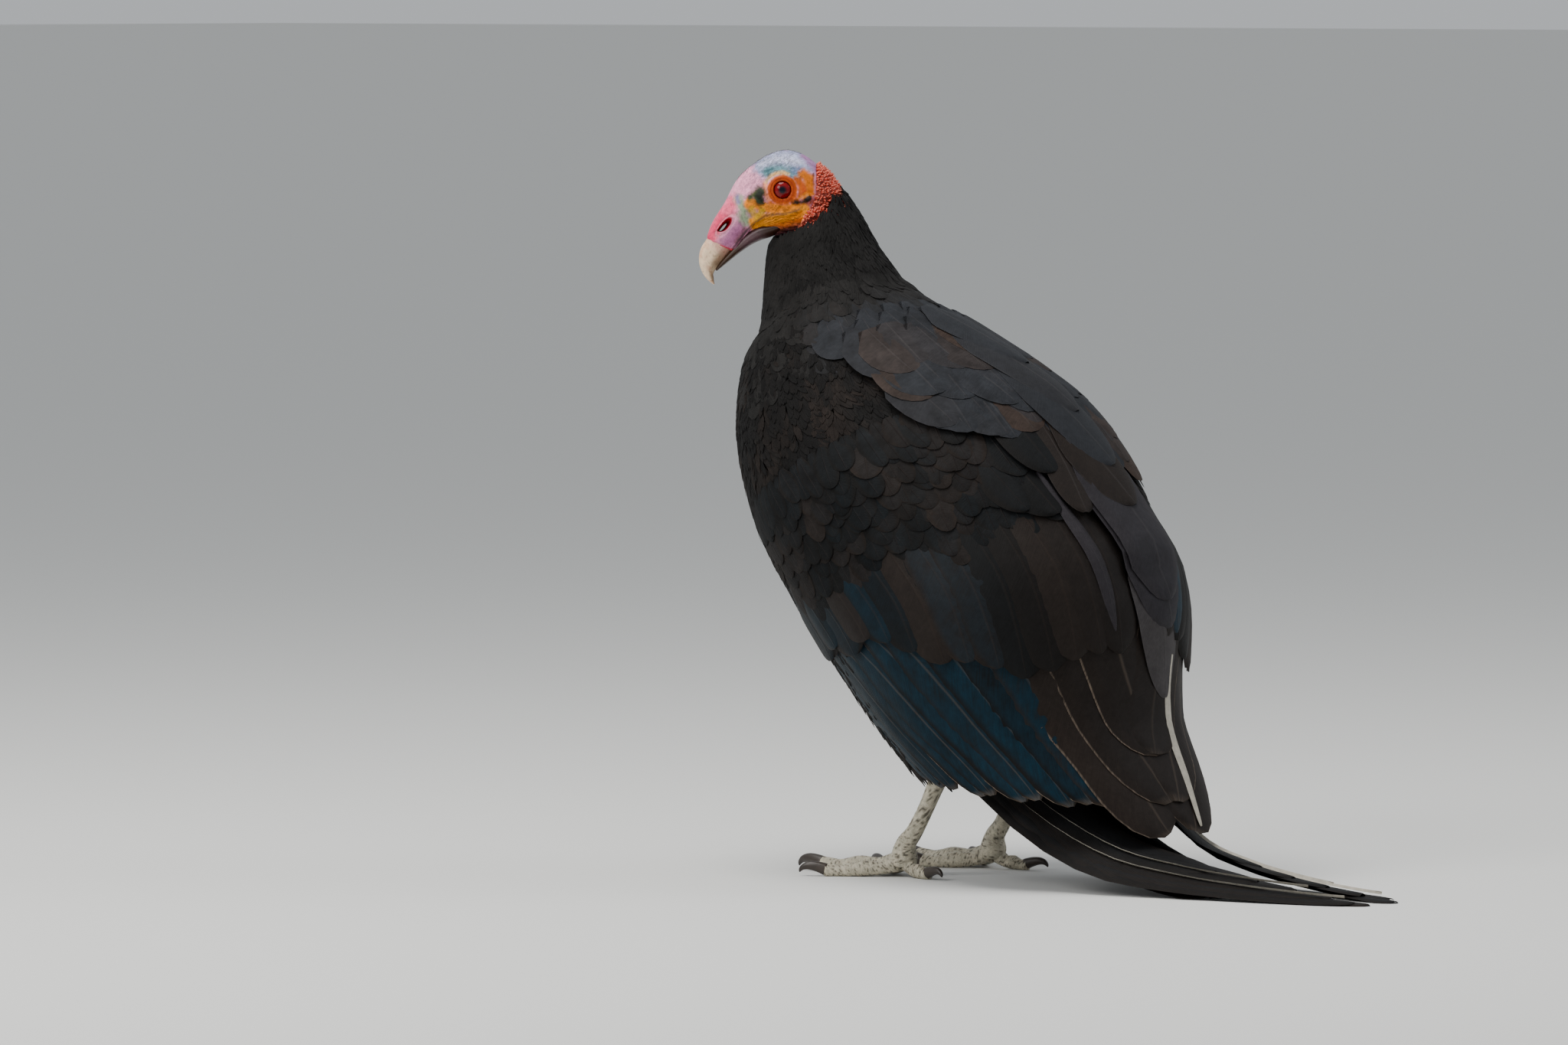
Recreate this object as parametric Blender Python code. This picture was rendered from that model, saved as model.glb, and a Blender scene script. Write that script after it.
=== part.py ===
"""A lesser yellow-headed vulture standing at rest, life size, as one still body in closed solids.

Metres, +Z up. The bird faces -Y and its left side is +X. The head is turned to its left, the
wings are folded, and the wing tips and tail are laid on the floor behind it. The origin is the
middle of the floor that the whole bird covers.
"""

from math import cos, degrees, hypot, pi, radians, sin, sqrt

import bmesh
import bpy
import numpy as np
from mathutils import Matrix, Vector

# Driving dimensions
BODY_GROWTH = 1.0  # one number that scales the whole bird
GAP = 0.0004  # the clearance between two pieces that meet
FLOOR_CUT = 0.0  # height of the small flats that the bird rests on

# How the head is held: turned to the bird's left, and pitched down
HEAD_TURN = radians(42)
HEAD_PITCH = radians(37)
HEAD_CENTRE = Vector((0.0155, -0.1180, 0.3825))  # the middle between the eyes
NECK_LEAN = 0.004
EYE_RADIUS = 0.0074
EYE_SIDE = 0.0092

# Feet
STANCE = 0.038  # from the middle of the body to each foot
ANKLE_Y = -0.006
ANKLE_Z = 0.0125
HUB_RADIUS = 0.0078

# Neck and trunk, from the head to the tail: y, z, half width, depth to the back, depth to the belly
NECK_AND_TRUNK = (
    (-0.0950, 0.3845, 0.0120, 0.0120, 0.0120),
    (-0.0985, 0.3775, 0.0190, 0.0190, 0.0195),
    (-0.1010, 0.3650, 0.0250, 0.0260, 0.0270),
    (-0.1005, 0.3490, 0.0295, 0.0310, 0.0325),
    (-0.0970, 0.3310, 0.0370, 0.0380, 0.0370),
    (-0.0910, 0.3120, 0.0450, 0.0430, 0.0420),
    (-0.0790, 0.2820, 0.0580, 0.0500, 0.0600),
    (-0.0480, 0.2450, 0.0740, 0.0680, 0.0830),
    (-0.0030, 0.1930, 0.0800, 0.0800, 0.0950),
    (0.0290, 0.1480, 0.0740, 0.0780, 0.0860),
    (0.0420, 0.1150, 0.0590, 0.0620, 0.0660),
    (0.0580, 0.0850, 0.0400, 0.0420, 0.0380),
    (0.0760, 0.0660, 0.0200, 0.0220, 0.0180),
)
# Where the neck and trunk are parted, as stations of that table
PARTS_OF_TRUNK = (("neck", 0, 4), ("ruff", 4, 6), ("breast", 6, 8), ("belly", 8, 10), ("rump", 10, 12))

# Folded wing, from the shoulder to the tips of the secondaries: y, z of the body's middle line, the
# section's rise towards the back in degrees, half width, half depth, then the angles from the back's
# middle where the wing begins and ends, and its thickness
FOLDED_WING = (
    (-0.0920, 0.3118, 30, 0.0490, 0.0480, 100, 128, 0.009),
    (-0.0930, 0.3010, 30, 0.0560, 0.0535, 92, 140, 0.018),
    (-0.0793, 0.2795, 30, 0.0720, 0.0670, 76, 146, 0.028),
    (-0.0610, 0.2580, 29, 0.0850, 0.0795, 60, 150, 0.034),
    (-0.0285, 0.2258, 27, 0.0995, 0.0955, 46, 150, 0.036),
    (-0.0010, 0.1935, 25, 0.1020, 0.1000, 35, 150, 0.036),
    (0.0150, 0.1720, 22, 0.1015, 0.1005, 26, 150, 0.036),
    (0.0318, 0.1505, 18, 0.1005, 0.1010, 18, 150, 0.034),
    (0.0399, 0.1290, 13, 0.0967, 0.0955, 8, 148, 0.030),
    (0.0445, 0.1075, 8, 0.0910, 0.0871, 5, 146, 0.024),
    (0.0520, 0.0860, 2, 0.0865, 0.0805, 3.5, 144, 0.018),
    (0.0670, 0.0645, -4, 0.0835, 0.0803, 3, 140, 0.012),
    (0.0813, 0.0430, -10, 0.0794, 0.0800, 3, 128, 0.008),
)
WING_SPLIT = 7  # station where the coverts end and the long feathers show
# Scapulars lie over the wing's root, beside the middle of the back
SCAPULARS = (
    (-0.0920, 0.3118, 30, 0.0480, 0.0455, 36, 100, 0.010),
    (-0.0930, 0.3010, 30, 0.0560, 0.0535, 12, 92, 0.018),
    (-0.0793, 0.2795, 30, 0.0725, 0.0680, 2, 76, 0.026),
    (-0.0610, 0.2580, 29, 0.0860, 0.0810, 1.2, 60, 0.028),
    (-0.0285, 0.2258, 27, 0.1005, 0.0970, 1, 46, 0.028),
    (-0.0010, 0.1935, 25, 0.1030, 0.1015, 1, 35, 0.024),
    (0.0150, 0.1720, 22, 0.1025, 0.1015, 1, 26, 0.018),
    (0.0318, 0.1505, 18, 0.1015, 0.1020, 2, 18, 0.012),
)
# Primaries: middle line x, y, z, then width, thickness, and the tilt of the blade in degrees
PRIMARIES = (
    (0.0620, 0.0620, 0.0760, 0.042, 0.0090, 64),
    (0.0530, 0.1050, 0.0420, 0.048, 0.0090, 48),
    (0.0430, 0.1480, 0.0195, 0.052, 0.0085, 25),
    (0.0335, 0.1900, 0.0108, 0.049, 0.0075, 16),
    (0.0252, 0.2290, 0.0064, 0.042, 0.0060, 11),
    (0.0182, 0.2640, 0.0038, 0.031, 0.0048, 8),
    (0.0130, 0.2920, 0.0022, 0.018, 0.0040, 4),
    (0.0110, 0.3060, 0.0014, 0.008, 0.0032, 2),
)
# Tail: y, z of its middle, half width, thickness, and how far its edges droop
TAIL = (
    (0.0780, 0.0740, 0.022, 0.0090, 0.004),
    (0.0950, 0.0520, 0.030, 0.0075, 0.006),
    (0.1150, 0.0340, 0.038, 0.0065, 0.007),
    (0.1400, 0.0190, 0.044, 0.0055, 0.006),
    (0.1700, 0.0085, 0.047, 0.0046, 0.004),
    (0.2000, 0.0032, 0.046, 0.0040, 0.002),
    (0.2160, 0.0018, 0.037, 0.0034, 0.001),
)
# Legs: x, y, z and radius along each
THIGH = (
    (0.0380, -0.0060, 0.1240, 0.020),
    (0.0390, 0.0000, 0.1100, 0.025),
    (0.0385, 0.0090, 0.0930, 0.020),
    (0.0372, 0.0170, 0.0770, 0.0115),
    (0.0368, 0.0205, 0.0700, 0.0085),
)
TARSUS = (
    (0.0370, 0.0225, 0.0735, 0.0058),
    (0.0365, 0.0215, 0.0655, 0.0064),
    (0.0362, 0.0125, 0.0460, 0.0047),
    (0.0374, 0.0020, 0.0270, 0.0048),
    (STANCE, ANKLE_Y, ANKLE_Z, 0.0060),
)
# Toes: name, turn from straight ahead in degrees (towards the outside of the foot), length, radius, claw length
TOES = (
    ("middle", 3, 0.060, 0.0047, 0.0180),
    ("inner", -31, 0.043, 0.0042, 0.0185),
    ("outer", 36, 0.046, 0.0040, 0.0150),
    ("hind", 168, 0.023, 0.0036, 0.0140),
)

# Head: forward from the eye line, top, bottom, half width, all in metres
HEAD = (
    (-0.0262, -0.0060, -0.0150, 0.0050),
    (-0.0246, 0.0005, -0.0190, 0.0092),
    (-0.0212, 0.0103, -0.0218, 0.0128),
    (-0.0155, 0.0172, -0.0230, 0.0153),
    (-0.0080, 0.0206, -0.0235, 0.0163),
    (0.0000, 0.0219, -0.0235, 0.0162),
    (0.0080, 0.0222, -0.0228, 0.0153),
    (0.0150, 0.0213, -0.0212, 0.0134),
    (0.0210, 0.0194, -0.0184, 0.0110),
    (0.0280, 0.0168, -0.0162, 0.0091),
    (0.0350, 0.0142, -0.0154, 0.0080),
    (0.0420, 0.0112, -0.0147, 0.0073),
    (0.0480, 0.0073, -0.0124, 0.0066),
    (0.0515, 0.0048, -0.0098, 0.0058),
)
# Hooked tip of the bill: forward, top, bottom, half width
BILL_TIP = (
    (0.0495, 0.0038, -0.0128, 0.0058),
    (0.0540, 0.0034, -0.0136, 0.0057),
    (0.0590, 0.0012, -0.0138, 0.0052),
    (0.0630, -0.0022, -0.0142, 0.0043),
    (0.0655, -0.0068, -0.0150, 0.0030),
)
BILL_HOOK = ((0.0640, -0.0140), (0.0646, -0.0176), (0.0640, -0.0200))  # forward and up
LOWER_BILL = (
    (0.0200, -0.0105, -0.0202, 0.0094),
    (0.0280, -0.0102, -0.0176, 0.0078),
    (0.0370, -0.0118, -0.0168, 0.0066),
    (0.0450, -0.0130, -0.0160, 0.0054),
    (0.0500, -0.0136, -0.0153, 0.0040),
)

COLOURS = {
    "head_skin": ((0.82, 0.42, 0.28), 0.55),
    "bill_horn": ((0.83, 0.72, 0.60), 0.40),
    "eye": ((0.32, 0.02, 0.02), 0.08),
    "plumage": ((0.030, 0.026, 0.026), 0.62),
    "flight_feathers": ((0.036, 0.034, 0.038), 0.55),
    "leg_scales": ((0.62, 0.60, 0.54), 0.65),
    "claw_horn": ((0.07, 0.065, 0.06), 0.35),
}


def clear_scene():
    for obj in list(bpy.data.objects):
        bpy.data.objects.remove(obj)


def new_collection(name):
    collection = bpy.data.collections.new(name)
    bpy.context.scene.collection.children.link(collection)
    return collection


def make_materials():
    made = {}
    for name, (colour, roughness) in COLOURS.items():
        material = bpy.data.materials.new(name)
        material.use_nodes = True
        shader = material.node_tree.nodes["Principled BSDF"]
        shader.inputs["Base Color"].default_value = (*colour, 1.0)
        shader.inputs["Roughness"].default_value = roughness
        made[name] = material
    return made


def between(table, station):
    """The row of a table at a fractional station, on a Catmull-Rom curve through its rows."""
    rows = np.array(table, float)
    station = min(max(station, 0.0), len(rows) - 1.0)
    i = min(int(station), len(rows) - 2)
    t = station - i
    first, a, b, last = (rows[min(max(k, 0), len(rows) - 1)] for k in (i - 1, i, i + 1, i + 2))
    slope_a, slope_b = (b - first) / 2, (last - a) / 2
    return (
        (2 * t**3 - 3 * t**2 + 1) * a
        + (t**3 - 2 * t**2 + t) * slope_a
        + (3 * t**2 - 2 * t**3) * b
        + (t**3 - t**2) * slope_b
    )


def stations(start, stop, steps):
    return [start + (stop - start) * k / steps for k in range(steps + 1)]


def powered(value, power):
    return abs(value) ** (2 / power) * (1 if value >= 0 else -1)


def oval(middle, side, up, half, above, below, power=2.0, count=28):
    """A closed ring of points round middle, in the plane of side and up."""
    ring = []
    for k in range(count):
        angle = 2 * pi * k / count
        across, rise = powered(sin(angle), power), powered(cos(angle), power)
        ring.append(middle + side * half * across + up * (above if rise > 0 else below) * rise)
    return ring


def link(name, mesh, material, collection):
    obj = bpy.data.objects.new(name, mesh)
    mesh.materials.append(material)
    collection.objects.link(obj)
    return obj


def loft(name, rings, material, collection):
    """A closed solid through rings that have the same number of points."""
    bm = bmesh.new()
    loops = [[bm.verts.new(point) for point in ring] for ring in rings]
    for a, b in zip(loops, loops[1:]):
        for k in range(len(a)):
            j = (k + 1) % len(a)
            bm.faces.new((a[k], a[j], b[j], b[k]))
    bm.faces.new(loops[0])
    bm.faces.new(loops[-1])
    bmesh.ops.recalc_face_normals(bm, faces=bm.faces)
    mesh = bpy.data.meshes.new(name)
    bm.to_mesh(mesh)
    bm.free()
    mesh.shade_smooth()
    mesh.set_sharp_from_angle(angle=radians(50))
    return link(name, mesh, material, collection)


def as_cutter(obj):
    obj.hide_render = True
    obj.display_type = "WIRE"
    return obj


def settle(obj):
    """Replaces an object's mesh by its evaluated one, with no modifiers left."""
    bpy.context.view_layer.update()
    mesh = bpy.data.meshes.new_from_object(obj.evaluated_get(bpy.context.evaluated_depsgraph_get()))
    obj.modifiers.clear()
    obj.data = mesh
    return obj


def cut(obj, *cutters):
    """Takes each cutter's shape out of the object."""
    for cutter in cutters:
        modifier = obj.modifiers.new("cut_" + cutter.name, "BOOLEAN")
        modifier.operation = "DIFFERENCE"
        modifier.solver = "MANIFOLD"
        modifier.object = cutter
    return settle(obj)


def mirrored(obj, name):
    """The same piece on the bird's right side."""
    mesh = obj.data.copy()
    mesh.transform(Matrix.Scale(-1, 4, (1, 0, 0)))
    mesh.flip_normals()
    copy = bpy.data.objects.new(name, mesh)
    obj.users_collection[0].objects.link(copy)
    return copy


def flatten_foot(obj):
    """Cuts off what is under the floor, which leaves a small flat there."""
    return cut(obj, bpy.data.objects["floor_cutter"])


def biggest_piece(obj):
    """Drops the loose chips that a cut can leave beside the piece itself."""
    bm = bmesh.new()
    bm.from_mesh(obj.data)
    left, islands = set(bm.verts), []
    while left:
        todo, island = [left.pop()], set()
        while todo:
            vert = todo.pop()
            island.add(vert)
            for edge in vert.link_edges:
                other = edge.other_vert(vert)
                if other in left:
                    left.discard(other)
                    todo.append(other)
        islands.append(island)
    islands.sort(key=len)
    for island in islands[:-1]:
        bmesh.ops.delete(bm, geom=list(island), context="VERTS")
    bm.to_mesh(obj.data)
    bm.free()
    return obj


# Neck and trunk


def trunk_ring(station, grow=0.0):
    y, z, half, back, belly = between(NECK_AND_TRUNK, station)
    ahead, behind = between(NECK_AND_TRUNK, station - 0.05), between(NECK_AND_TRUNK, station + 0.05)
    along = Vector((0, behind[0] - ahead[0], behind[1] - ahead[1])).normalized()
    dorsal = Vector((0, -along.z, along.y))
    middle = Vector((0, y, z))
    # The neck's top leans to the side to which the head is turned
    middle.x += NECK_LEAN * max(0.0, 1 - station / 4)
    return oval(middle, Vector((1, 0, 0)), dorsal, half + grow, back + grow, belly + grow, 2.1, 20)


def trunk_piece(name, start, stop, material, collection, steps=5):
    """One length of the neck or trunk. Its near end stands off by the gap, so that lengths don't touch."""
    rings = [trunk_ring(s) for s in stations(start, stop, steps)]
    first, second = (sum(ring, Vector()) / len(ring) for ring in rings[:2])
    along = (second - first).normalized()
    rings[0] = [point + along * GAP for point in rings[0]]
    return loft(name, rings, material, collection)


def make_trunk_cutter(material, collection, steps=5):
    """The whole neck and trunk, larger by the gap, with rings where its lengths have them."""
    marks = [s for _, start, stop in PARTS_OF_TRUNK for s in stations(start, stop, steps)[:-1]]
    marks.append(PARTS_OF_TRUNK[-1][2])
    return as_cutter(loft("trunk_cutter", [trunk_ring(s, 3 * GAP) for s in marks], material, collection))


# Wings


def band(table, station, grow=0.0, count=8):
    """A ring of a folded wing: an arc outside, and the same arc inside at the wing's depth."""
    y, z, rise, half, deep, start, stop, thick = between(table, station)
    dorsal = Vector((0, cos(radians(rise)), sin(radians(rise))))
    middle = Vector((0, y, z))
    turn = degrees(grow / half)
    outer, inner = [], []
    for k in range(count + 1):
        share = k / count
        angle = radians(start + (stop - start) * share + turn * ((k == count) - (k == 0)))
        depth = thick * (0.22 + 0.78 * sqrt(max(0.0, sin(pi * share)))) + grow
        for line, shift in ((outer, grow), (inner, -depth)):
            line.append(middle + Vector((1, 0, 0)) * (half + shift) * sin(angle) + dorsal * (deep + shift) * cos(angle))
    return outer + inner[::-2]


def band_solid(name, table, start, stop, material, collection, grow=0.0):
    """A length of a folded wing, with two rings to each station so that neighbours have the same facets."""
    marks = stations(start, stop, max(1, round(2 * (stop - start))))
    rings = [band(table, s, grow) for s in marks]
    if grow:
        rings = stretched(rings, grow)
    return loft(name, rings, material, collection)


def stretched(rings, grow):
    """Moves the first and last ring outwards along the loft by grow."""
    middles = [sum(ring, Vector()) / len(ring) for ring in rings]
    for end, inside in ((0, 1), (-1, -2)):
        out = (middles[end] - middles[inside]).normalized() * grow
        rings[end] = [point + out for point in rings[end]]
    return rings


def blade_ring(row, along, grow=0.0):
    """A flat oval across a feather bundle, tilted so that its outer edge hangs lower."""
    x, y, z, width, thick, tilt = row
    across = Vector((cos(radians(tilt)), 0, -sin(radians(tilt))))
    across = (across - along * across.dot(along)).normalized()
    face = across.cross(along).normalized()
    face = face if face.z > 0 else -face
    half = thick / 2 + grow
    return oval(Vector((x, y, z)), across, face, width / 2 + grow, half, half, 2.4, 12)


def primaries(name, material, collection, grow=0.0, steps=10):
    rings = []
    last = len(PRIMARIES) - 1
    for s in stations(0, last, steps):
        row = between(PRIMARIES, s)
        along = Vector(between(PRIMARIES, s + 0.05)[:3]) - Vector(between(PRIMARIES, s - 0.05)[:3])
        rings.append(blade_ring(row, along.normalized(), grow))
    if grow:
        rings = stretched(rings, grow)
    return loft(name, rings, material, collection)


def tail(name, material, collection, grow=0.0, steps=9, across=5):
    """A fan of feathers as one thin arched slab."""
    rings = []
    for s in stations(0, len(TAIL) - 1, steps):
        y, z, half, thick, droop = between(TAIL, s)
        lift = thick / 2 + grow
        above, below = [], []
        for k in range(-across, across + 1):
            side = k / across
            edge = sqrt(max(0.0, 1 - side**4))
            x = (half + grow) * side
            height = z - droop * side**2
            above.append(Vector((x, y, height + lift * (0.25 + 0.75 * edge))))
            below.append(Vector((x, y, height - lift * (0.25 + 0.75 * edge))))
        rings.append(above + below[::-1])
    return loft(name, rings, material, collection)


# Legs


def bent_tube(name, rows, material, collection, count=10, grow=0.0):
    """A round limb through rows of x, y, z and radius."""
    rings = []
    points = [Vector(row[:3]) for row in rows]
    for k, row in enumerate(rows):
        along = (points[min(k + 1, len(rows) - 1)] - points[max(k - 1, 0)]).normalized()
        side = Vector((1, 0, 0)) if abs(along.x) < 0.8 else Vector((0, 1, 0))
        side = (side - along * side.dot(along)).normalized()
        up = along.cross(side)
        radius = row[3] + grow
        rings.append(oval(points[k], side, up, radius, radius, radius, 2.0, count))
    if grow:
        rings = stretched(rings, grow)
    return loft(name, rings, material, collection)


def toe_rows(turn, length, radius):
    """A toe lying on the floor, thicker at its joints and a little lower at its end."""
    rows = []
    ahead = Vector((sin(radians(turn)), -cos(radians(turn)), 0))
    for k in range(7):
        share = k / 6
        swell = 1 + 0.10 * cos(4 * pi * share)
        thick = radius * (1.12 - 0.26 * share) * swell
        place = Vector((STANCE, ANKLE_Y, 0)) + ahead * (0.003 + (length - 0.003) * share)
        place.z = thick - 0.0006 + (ANKLE_Z * 0.45 - 0.0022) * (1 - share) ** 3
        rows.append((*place, thick))
    return rows, ahead


def claw_rows(toe, ahead, radius, length):
    """A curved horn that leaves the toe's end, rises a little and comes down to the floor."""
    base = Vector(toe[-1][:3])
    arch, rows = 0.20 * length, []
    for k in range(6):
        share = k / 5
        place = base + ahead * (GAP + length * 0.86 * sin(share * pi / 2))
        place.z = base.z + 0.0003 + arch * sin(pi * share * 0.9) - (base.z - 0.0009) * share**1.6
        rows.append((*place, radius * 0.74 * (1 - share) ** 0.75 + 0.00035))
    return rows


def make_foot(side, materials, parts, cutters):
    """The left foot's toes and claws, each its own piece."""
    hub = as_cutter(bent_tube("hub_cutter", (
        (STANCE, ANKLE_Y + 0.0005, ANKLE_Z + 0.0065, 0.0058),
        (STANCE, ANKLE_Y, ANKLE_Z, HUB_RADIUS),
        (STANCE, ANKLE_Y, 0.0045, HUB_RADIUS * 0.95),
        (STANCE, ANKLE_Y, -0.001, HUB_RADIUS * 0.8),
    ), materials["leg_scales"], cutters, 10, 2 * GAP))
    made, earlier = [], []
    for name, turn, length, radius, claw in TOES:
        rows, ahead = toe_rows(turn, length, radius)
        toe = bent_tube(f"{side}_toe_{name}", rows, materials["leg_scales"], parts, 8)
        cut(toe, hub, *earlier)
        flatten_foot(toe)
        earlier.append(as_cutter(bent_tube(f"toe_cutter_{name}", rows, materials["leg_scales"], cutters, 8, GAP)))
        nail = bent_tube(f"{side}_claw_{name}", claw_rows(rows, ahead, radius, claw), materials["claw_horn"], parts, 6)
        cut(nail, earlier[-1])
        flatten_foot(biggest_piece(nail))
        made += [toe, nail]
    return made


def make_leg(side, materials, parts, cutters, trunk_cutters):
    """Thigh, and the bare shank with the hub that the toes grow from."""
    shank_rows = TARSUS[:-1] + (
        (STANCE, ANKLE_Y + 0.0005, ANKLE_Z + 0.0065, 0.0058),
        (STANCE, ANKLE_Y, ANKLE_Z, HUB_RADIUS),
        (STANCE, ANKLE_Y, 0.0045, HUB_RADIUS * 0.95),
        (STANCE, ANKLE_Y, -0.001, HUB_RADIUS * 0.8),
    )
    shank = bent_tube(f"{side}_shank", shank_rows, materials["leg_scales"], parts, 10)
    flatten_foot(shank)
    shank_cutter = as_cutter(bent_tube("shank_cutter", shank_rows, materials["leg_scales"], cutters, 10, GAP))
    thigh = bent_tube(f"{side}_thigh", THIGH, materials["plumage"], parts, 14)
    cut(thigh, shank_cutter, *trunk_cutters)
    return [biggest_piece(thigh), shank]


# Head


def head_axes():
    """Forward, up and left of the head."""
    level = Vector((sin(HEAD_TURN), -cos(HEAD_TURN), 0))
    forward = level * cos(HEAD_PITCH) - Vector((0, 0, 1)) * sin(HEAD_PITCH)
    left = Vector((cos(HEAD_TURN), sin(HEAD_TURN), 0))
    return forward, forward.cross(left), left


def in_head(ahead, rise, aside=0.0):
    """A point given forward, up and left of the middle between the eyes."""
    forward, up, left = head_axes()
    return HEAD_CENTRE + forward * ahead + up * rise + left * aside


def head_ring(row, grow=0.0, power=2.25, count=18):
    ahead, top, bottom, half = row
    _, up, left = head_axes()
    deep = (top - bottom) / 2 + grow
    return oval(in_head(ahead, (top + bottom) / 2), left, up, half + grow, deep, deep, power, count)


def head_loft(name, table, material, collection, grow=0.0, steps=12, **shape):
    rings = [head_ring(between(table, s), grow, **shape) for s in stations(0, len(table) - 1, steps)]
    if grow:
        rings = stretched(rings, grow)
    return loft(name, rings, material, collection)


def make_head(materials, parts, cutters):
    skin, horn = materials["head_skin"], materials["bill_horn"]
    head = head_loft("head", HEAD, skin, parts, steps=13)
    upper = make_upper_bill("upper_bill", horn, parts)
    upper_cutter = as_cutter(make_upper_bill("upper_bill_cutter", horn, cutters, GAP))
    lower = head_loft("lower_bill", LOWER_BILL, horn, parts, steps=6, power=2.0, count=12)
    lower_cutter = as_cutter(head_loft("lower_bill_cutter", LOWER_BILL, horn, cutters, GAP, steps=6, power=2.0, count=12))
    cut(lower, upper_cutter)
    eye_cutters = []
    for side, sign in (("left", 1), ("right", -1)):
        middle = in_head(0, 0, EYE_SIDE * sign)
        for name, grow, collection in (("eye", 0, parts), ("eye_cutter", GAP, cutters)):
            bpy.ops.mesh.primitive_uv_sphere_add(segments=12, ring_count=8, radius=EYE_RADIUS + grow, location=middle)
            ball = bpy.context.object
            ball.name = f"{side}_{name}"
            ball.data.materials.append(materials["eye"])
            ball.data.shade_smooth()
            for old in list(ball.users_collection):
                old.objects.unlink(ball)
            collection.objects.link(ball)
            if grow:
                eye_cutters.append(as_cutter(ball))
    cut(head, upper_cutter, lower_cutter, *eye_cutters)
    biggest_piece(head)
    biggest_piece(lower)
    return head, upper, lower


def make_upper_bill(name, material, collection, grow=0.0):
    """The horn of the upper bill, whose hook is a second loft joined to the first."""
    forward, up, left = head_axes()
    body = [head_ring(between(BILL_TIP, s), grow, 2.2, 14) for s in stations(0, len(BILL_TIP) - 1, 4)]
    if grow:
        body = stretched(body, grow)
    horn = loft(name, body, material, collection)
    hook_path = (((0.0598, -0.0062), 0.0044), ((0.0632, -0.0118), 0.0030)) + tuple(zip(BILL_HOOK, (0.0021, 0.0014, 0.0005)))
    rings = []
    for (ahead, rise), half in hook_path:
        rings.append(oval(in_head(ahead, rise), left, forward, half * 0.85 + grow, half + grow, half + grow, 2.0, 10))
    if grow:
        rings = stretched(rings, grow)
    hook = as_cutter(loft(name + "_hook", rings, material, bpy.data.collections["cutters"]))
    joined = horn.modifiers.new("hook", "BOOLEAN")
    joined.operation = "UNION"
    joined.solver = "MANIFOLD"
    joined.object = hook
    return settle(horn)


def centre_on_floor(objects):
    """Moves the whole bird so that the middle of the floor that it covers is the origin."""
    corners = np.array([obj.matrix_world @ vert.co for obj in objects for vert in obj.data.vertices])
    low, high = corners.min(0), corners.max(0)
    shift = Matrix.Translation((-(low[0] + high[0]) / 2, -(low[1] + high[1]) / 2, -low[2]))
    for obj in objects:
        obj.data.transform(shift @ obj.matrix_world)
        obj.matrix_world = Matrix.Identity(4)


def main():
    clear_scene()
    parts, cutters = new_collection("vulture"), new_collection("cutters")
    materials = make_materials()
    plumage, flight = materials["plumage"], materials["flight_feathers"]

    as_cutter(box("floor_cutter", (-0.5, 0.5), (-0.5, 0.6), (-0.2, FLOOR_CUT), plumage, cutters))
    head, upper, lower = make_head(materials, parts, cutters)
    head_cutter = as_cutter(head_loft("head_cutter", HEAD, materials["head_skin"], cutters, GAP, steps=13))

    lengths = {name: trunk_piece(name, start, stop, plumage, parts) for name, start, stop in PARTS_OF_TRUNK}
    trunk_cutters = [make_trunk_cutter(plumage, cutters)]
    for name in ("neck", "ruff"):
        cut(lengths[name], head_cutter, bpy.data.objects["lower_bill_cutter"])
        biggest_piece(lengths[name])

    last = len(FOLDED_WING) - 1
    whole_wing = as_cutter(band_solid("wing_cutter", FOLDED_WING, 0, last, plumage, cutters, 2 * GAP))
    coverts = band_solid("left_wing_coverts", FOLDED_WING, 0, WING_SPLIT, plumage, parts)
    long_feathers = band_solid("left_wing_secondaries", FOLDED_WING, WING_SPLIT, last, flight, parts)
    shoulder = band_solid("left_scapulars", SCAPULARS, 0, len(SCAPULARS) - 1, plumage, parts)
    middle_cut = as_cutter(box("middle_cutter", (-0.2, 0.0008), (-0.5, 0.5), (-0.2, 0.6), plumage, cutters))
    for piece in (coverts, long_feathers):
        cut(piece, *trunk_cutters, middle_cut)
        biggest_piece(piece)
    cut(shoulder, whole_wing, *trunk_cutters, middle_cut)
    biggest_piece(shoulder)

    hand = primaries("left_wing_primaries", flight, parts)
    hand_cutter = as_cutter(primaries("hand_cutter", flight, cutters, GAP))
    cut(hand, whole_wing, *trunk_cutters, middle_cut)
    biggest_piece(hand)
    flatten_foot(hand)

    legs = make_leg("left", materials, parts, cutters, trunk_cutters + [whole_wing, hand_cutter])
    feet = make_foot("left", materials, parts, cutters)
    left_side = [coverts, long_feathers, shoulder, hand, *legs, *feet]
    for piece in left_side:
        mirrored(piece, piece.name.replace("left_", "right_", 1))

    fan = tail("tail", flight, parts)
    both = [whole_wing, hand_cutter]
    both += [as_cutter(move_to(mirrored(obj, "right_" + obj.name), cutters)) for obj in (whole_wing, hand_cutter)]
    cut(fan, *trunk_cutters, *both)
    biggest_piece(fan)
    flatten_foot(fan)

    centre_on_floor(list(parts.objects))


def box(name, x, y, z, material, collection):
    """A block between two values on each axis."""
    bm = bmesh.new()
    bmesh.ops.create_cube(bm, size=1)
    size = Vector((x[1] - x[0], y[1] - y[0], z[1] - z[0]))
    bmesh.ops.scale(bm, vec=size, verts=bm.verts)
    bmesh.ops.translate(bm, vec=Vector((sum(x), sum(y), sum(z))) / 2, verts=bm.verts)
    mesh = bpy.data.meshes.new(name)
    bm.to_mesh(mesh)
    bm.free()
    return link(name, mesh, material, collection)


def move_to(obj, collection):
    for old in list(obj.users_collection):
        old.objects.unlink(obj)
    collection.objects.link(obj)
    return obj


main()
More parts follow.
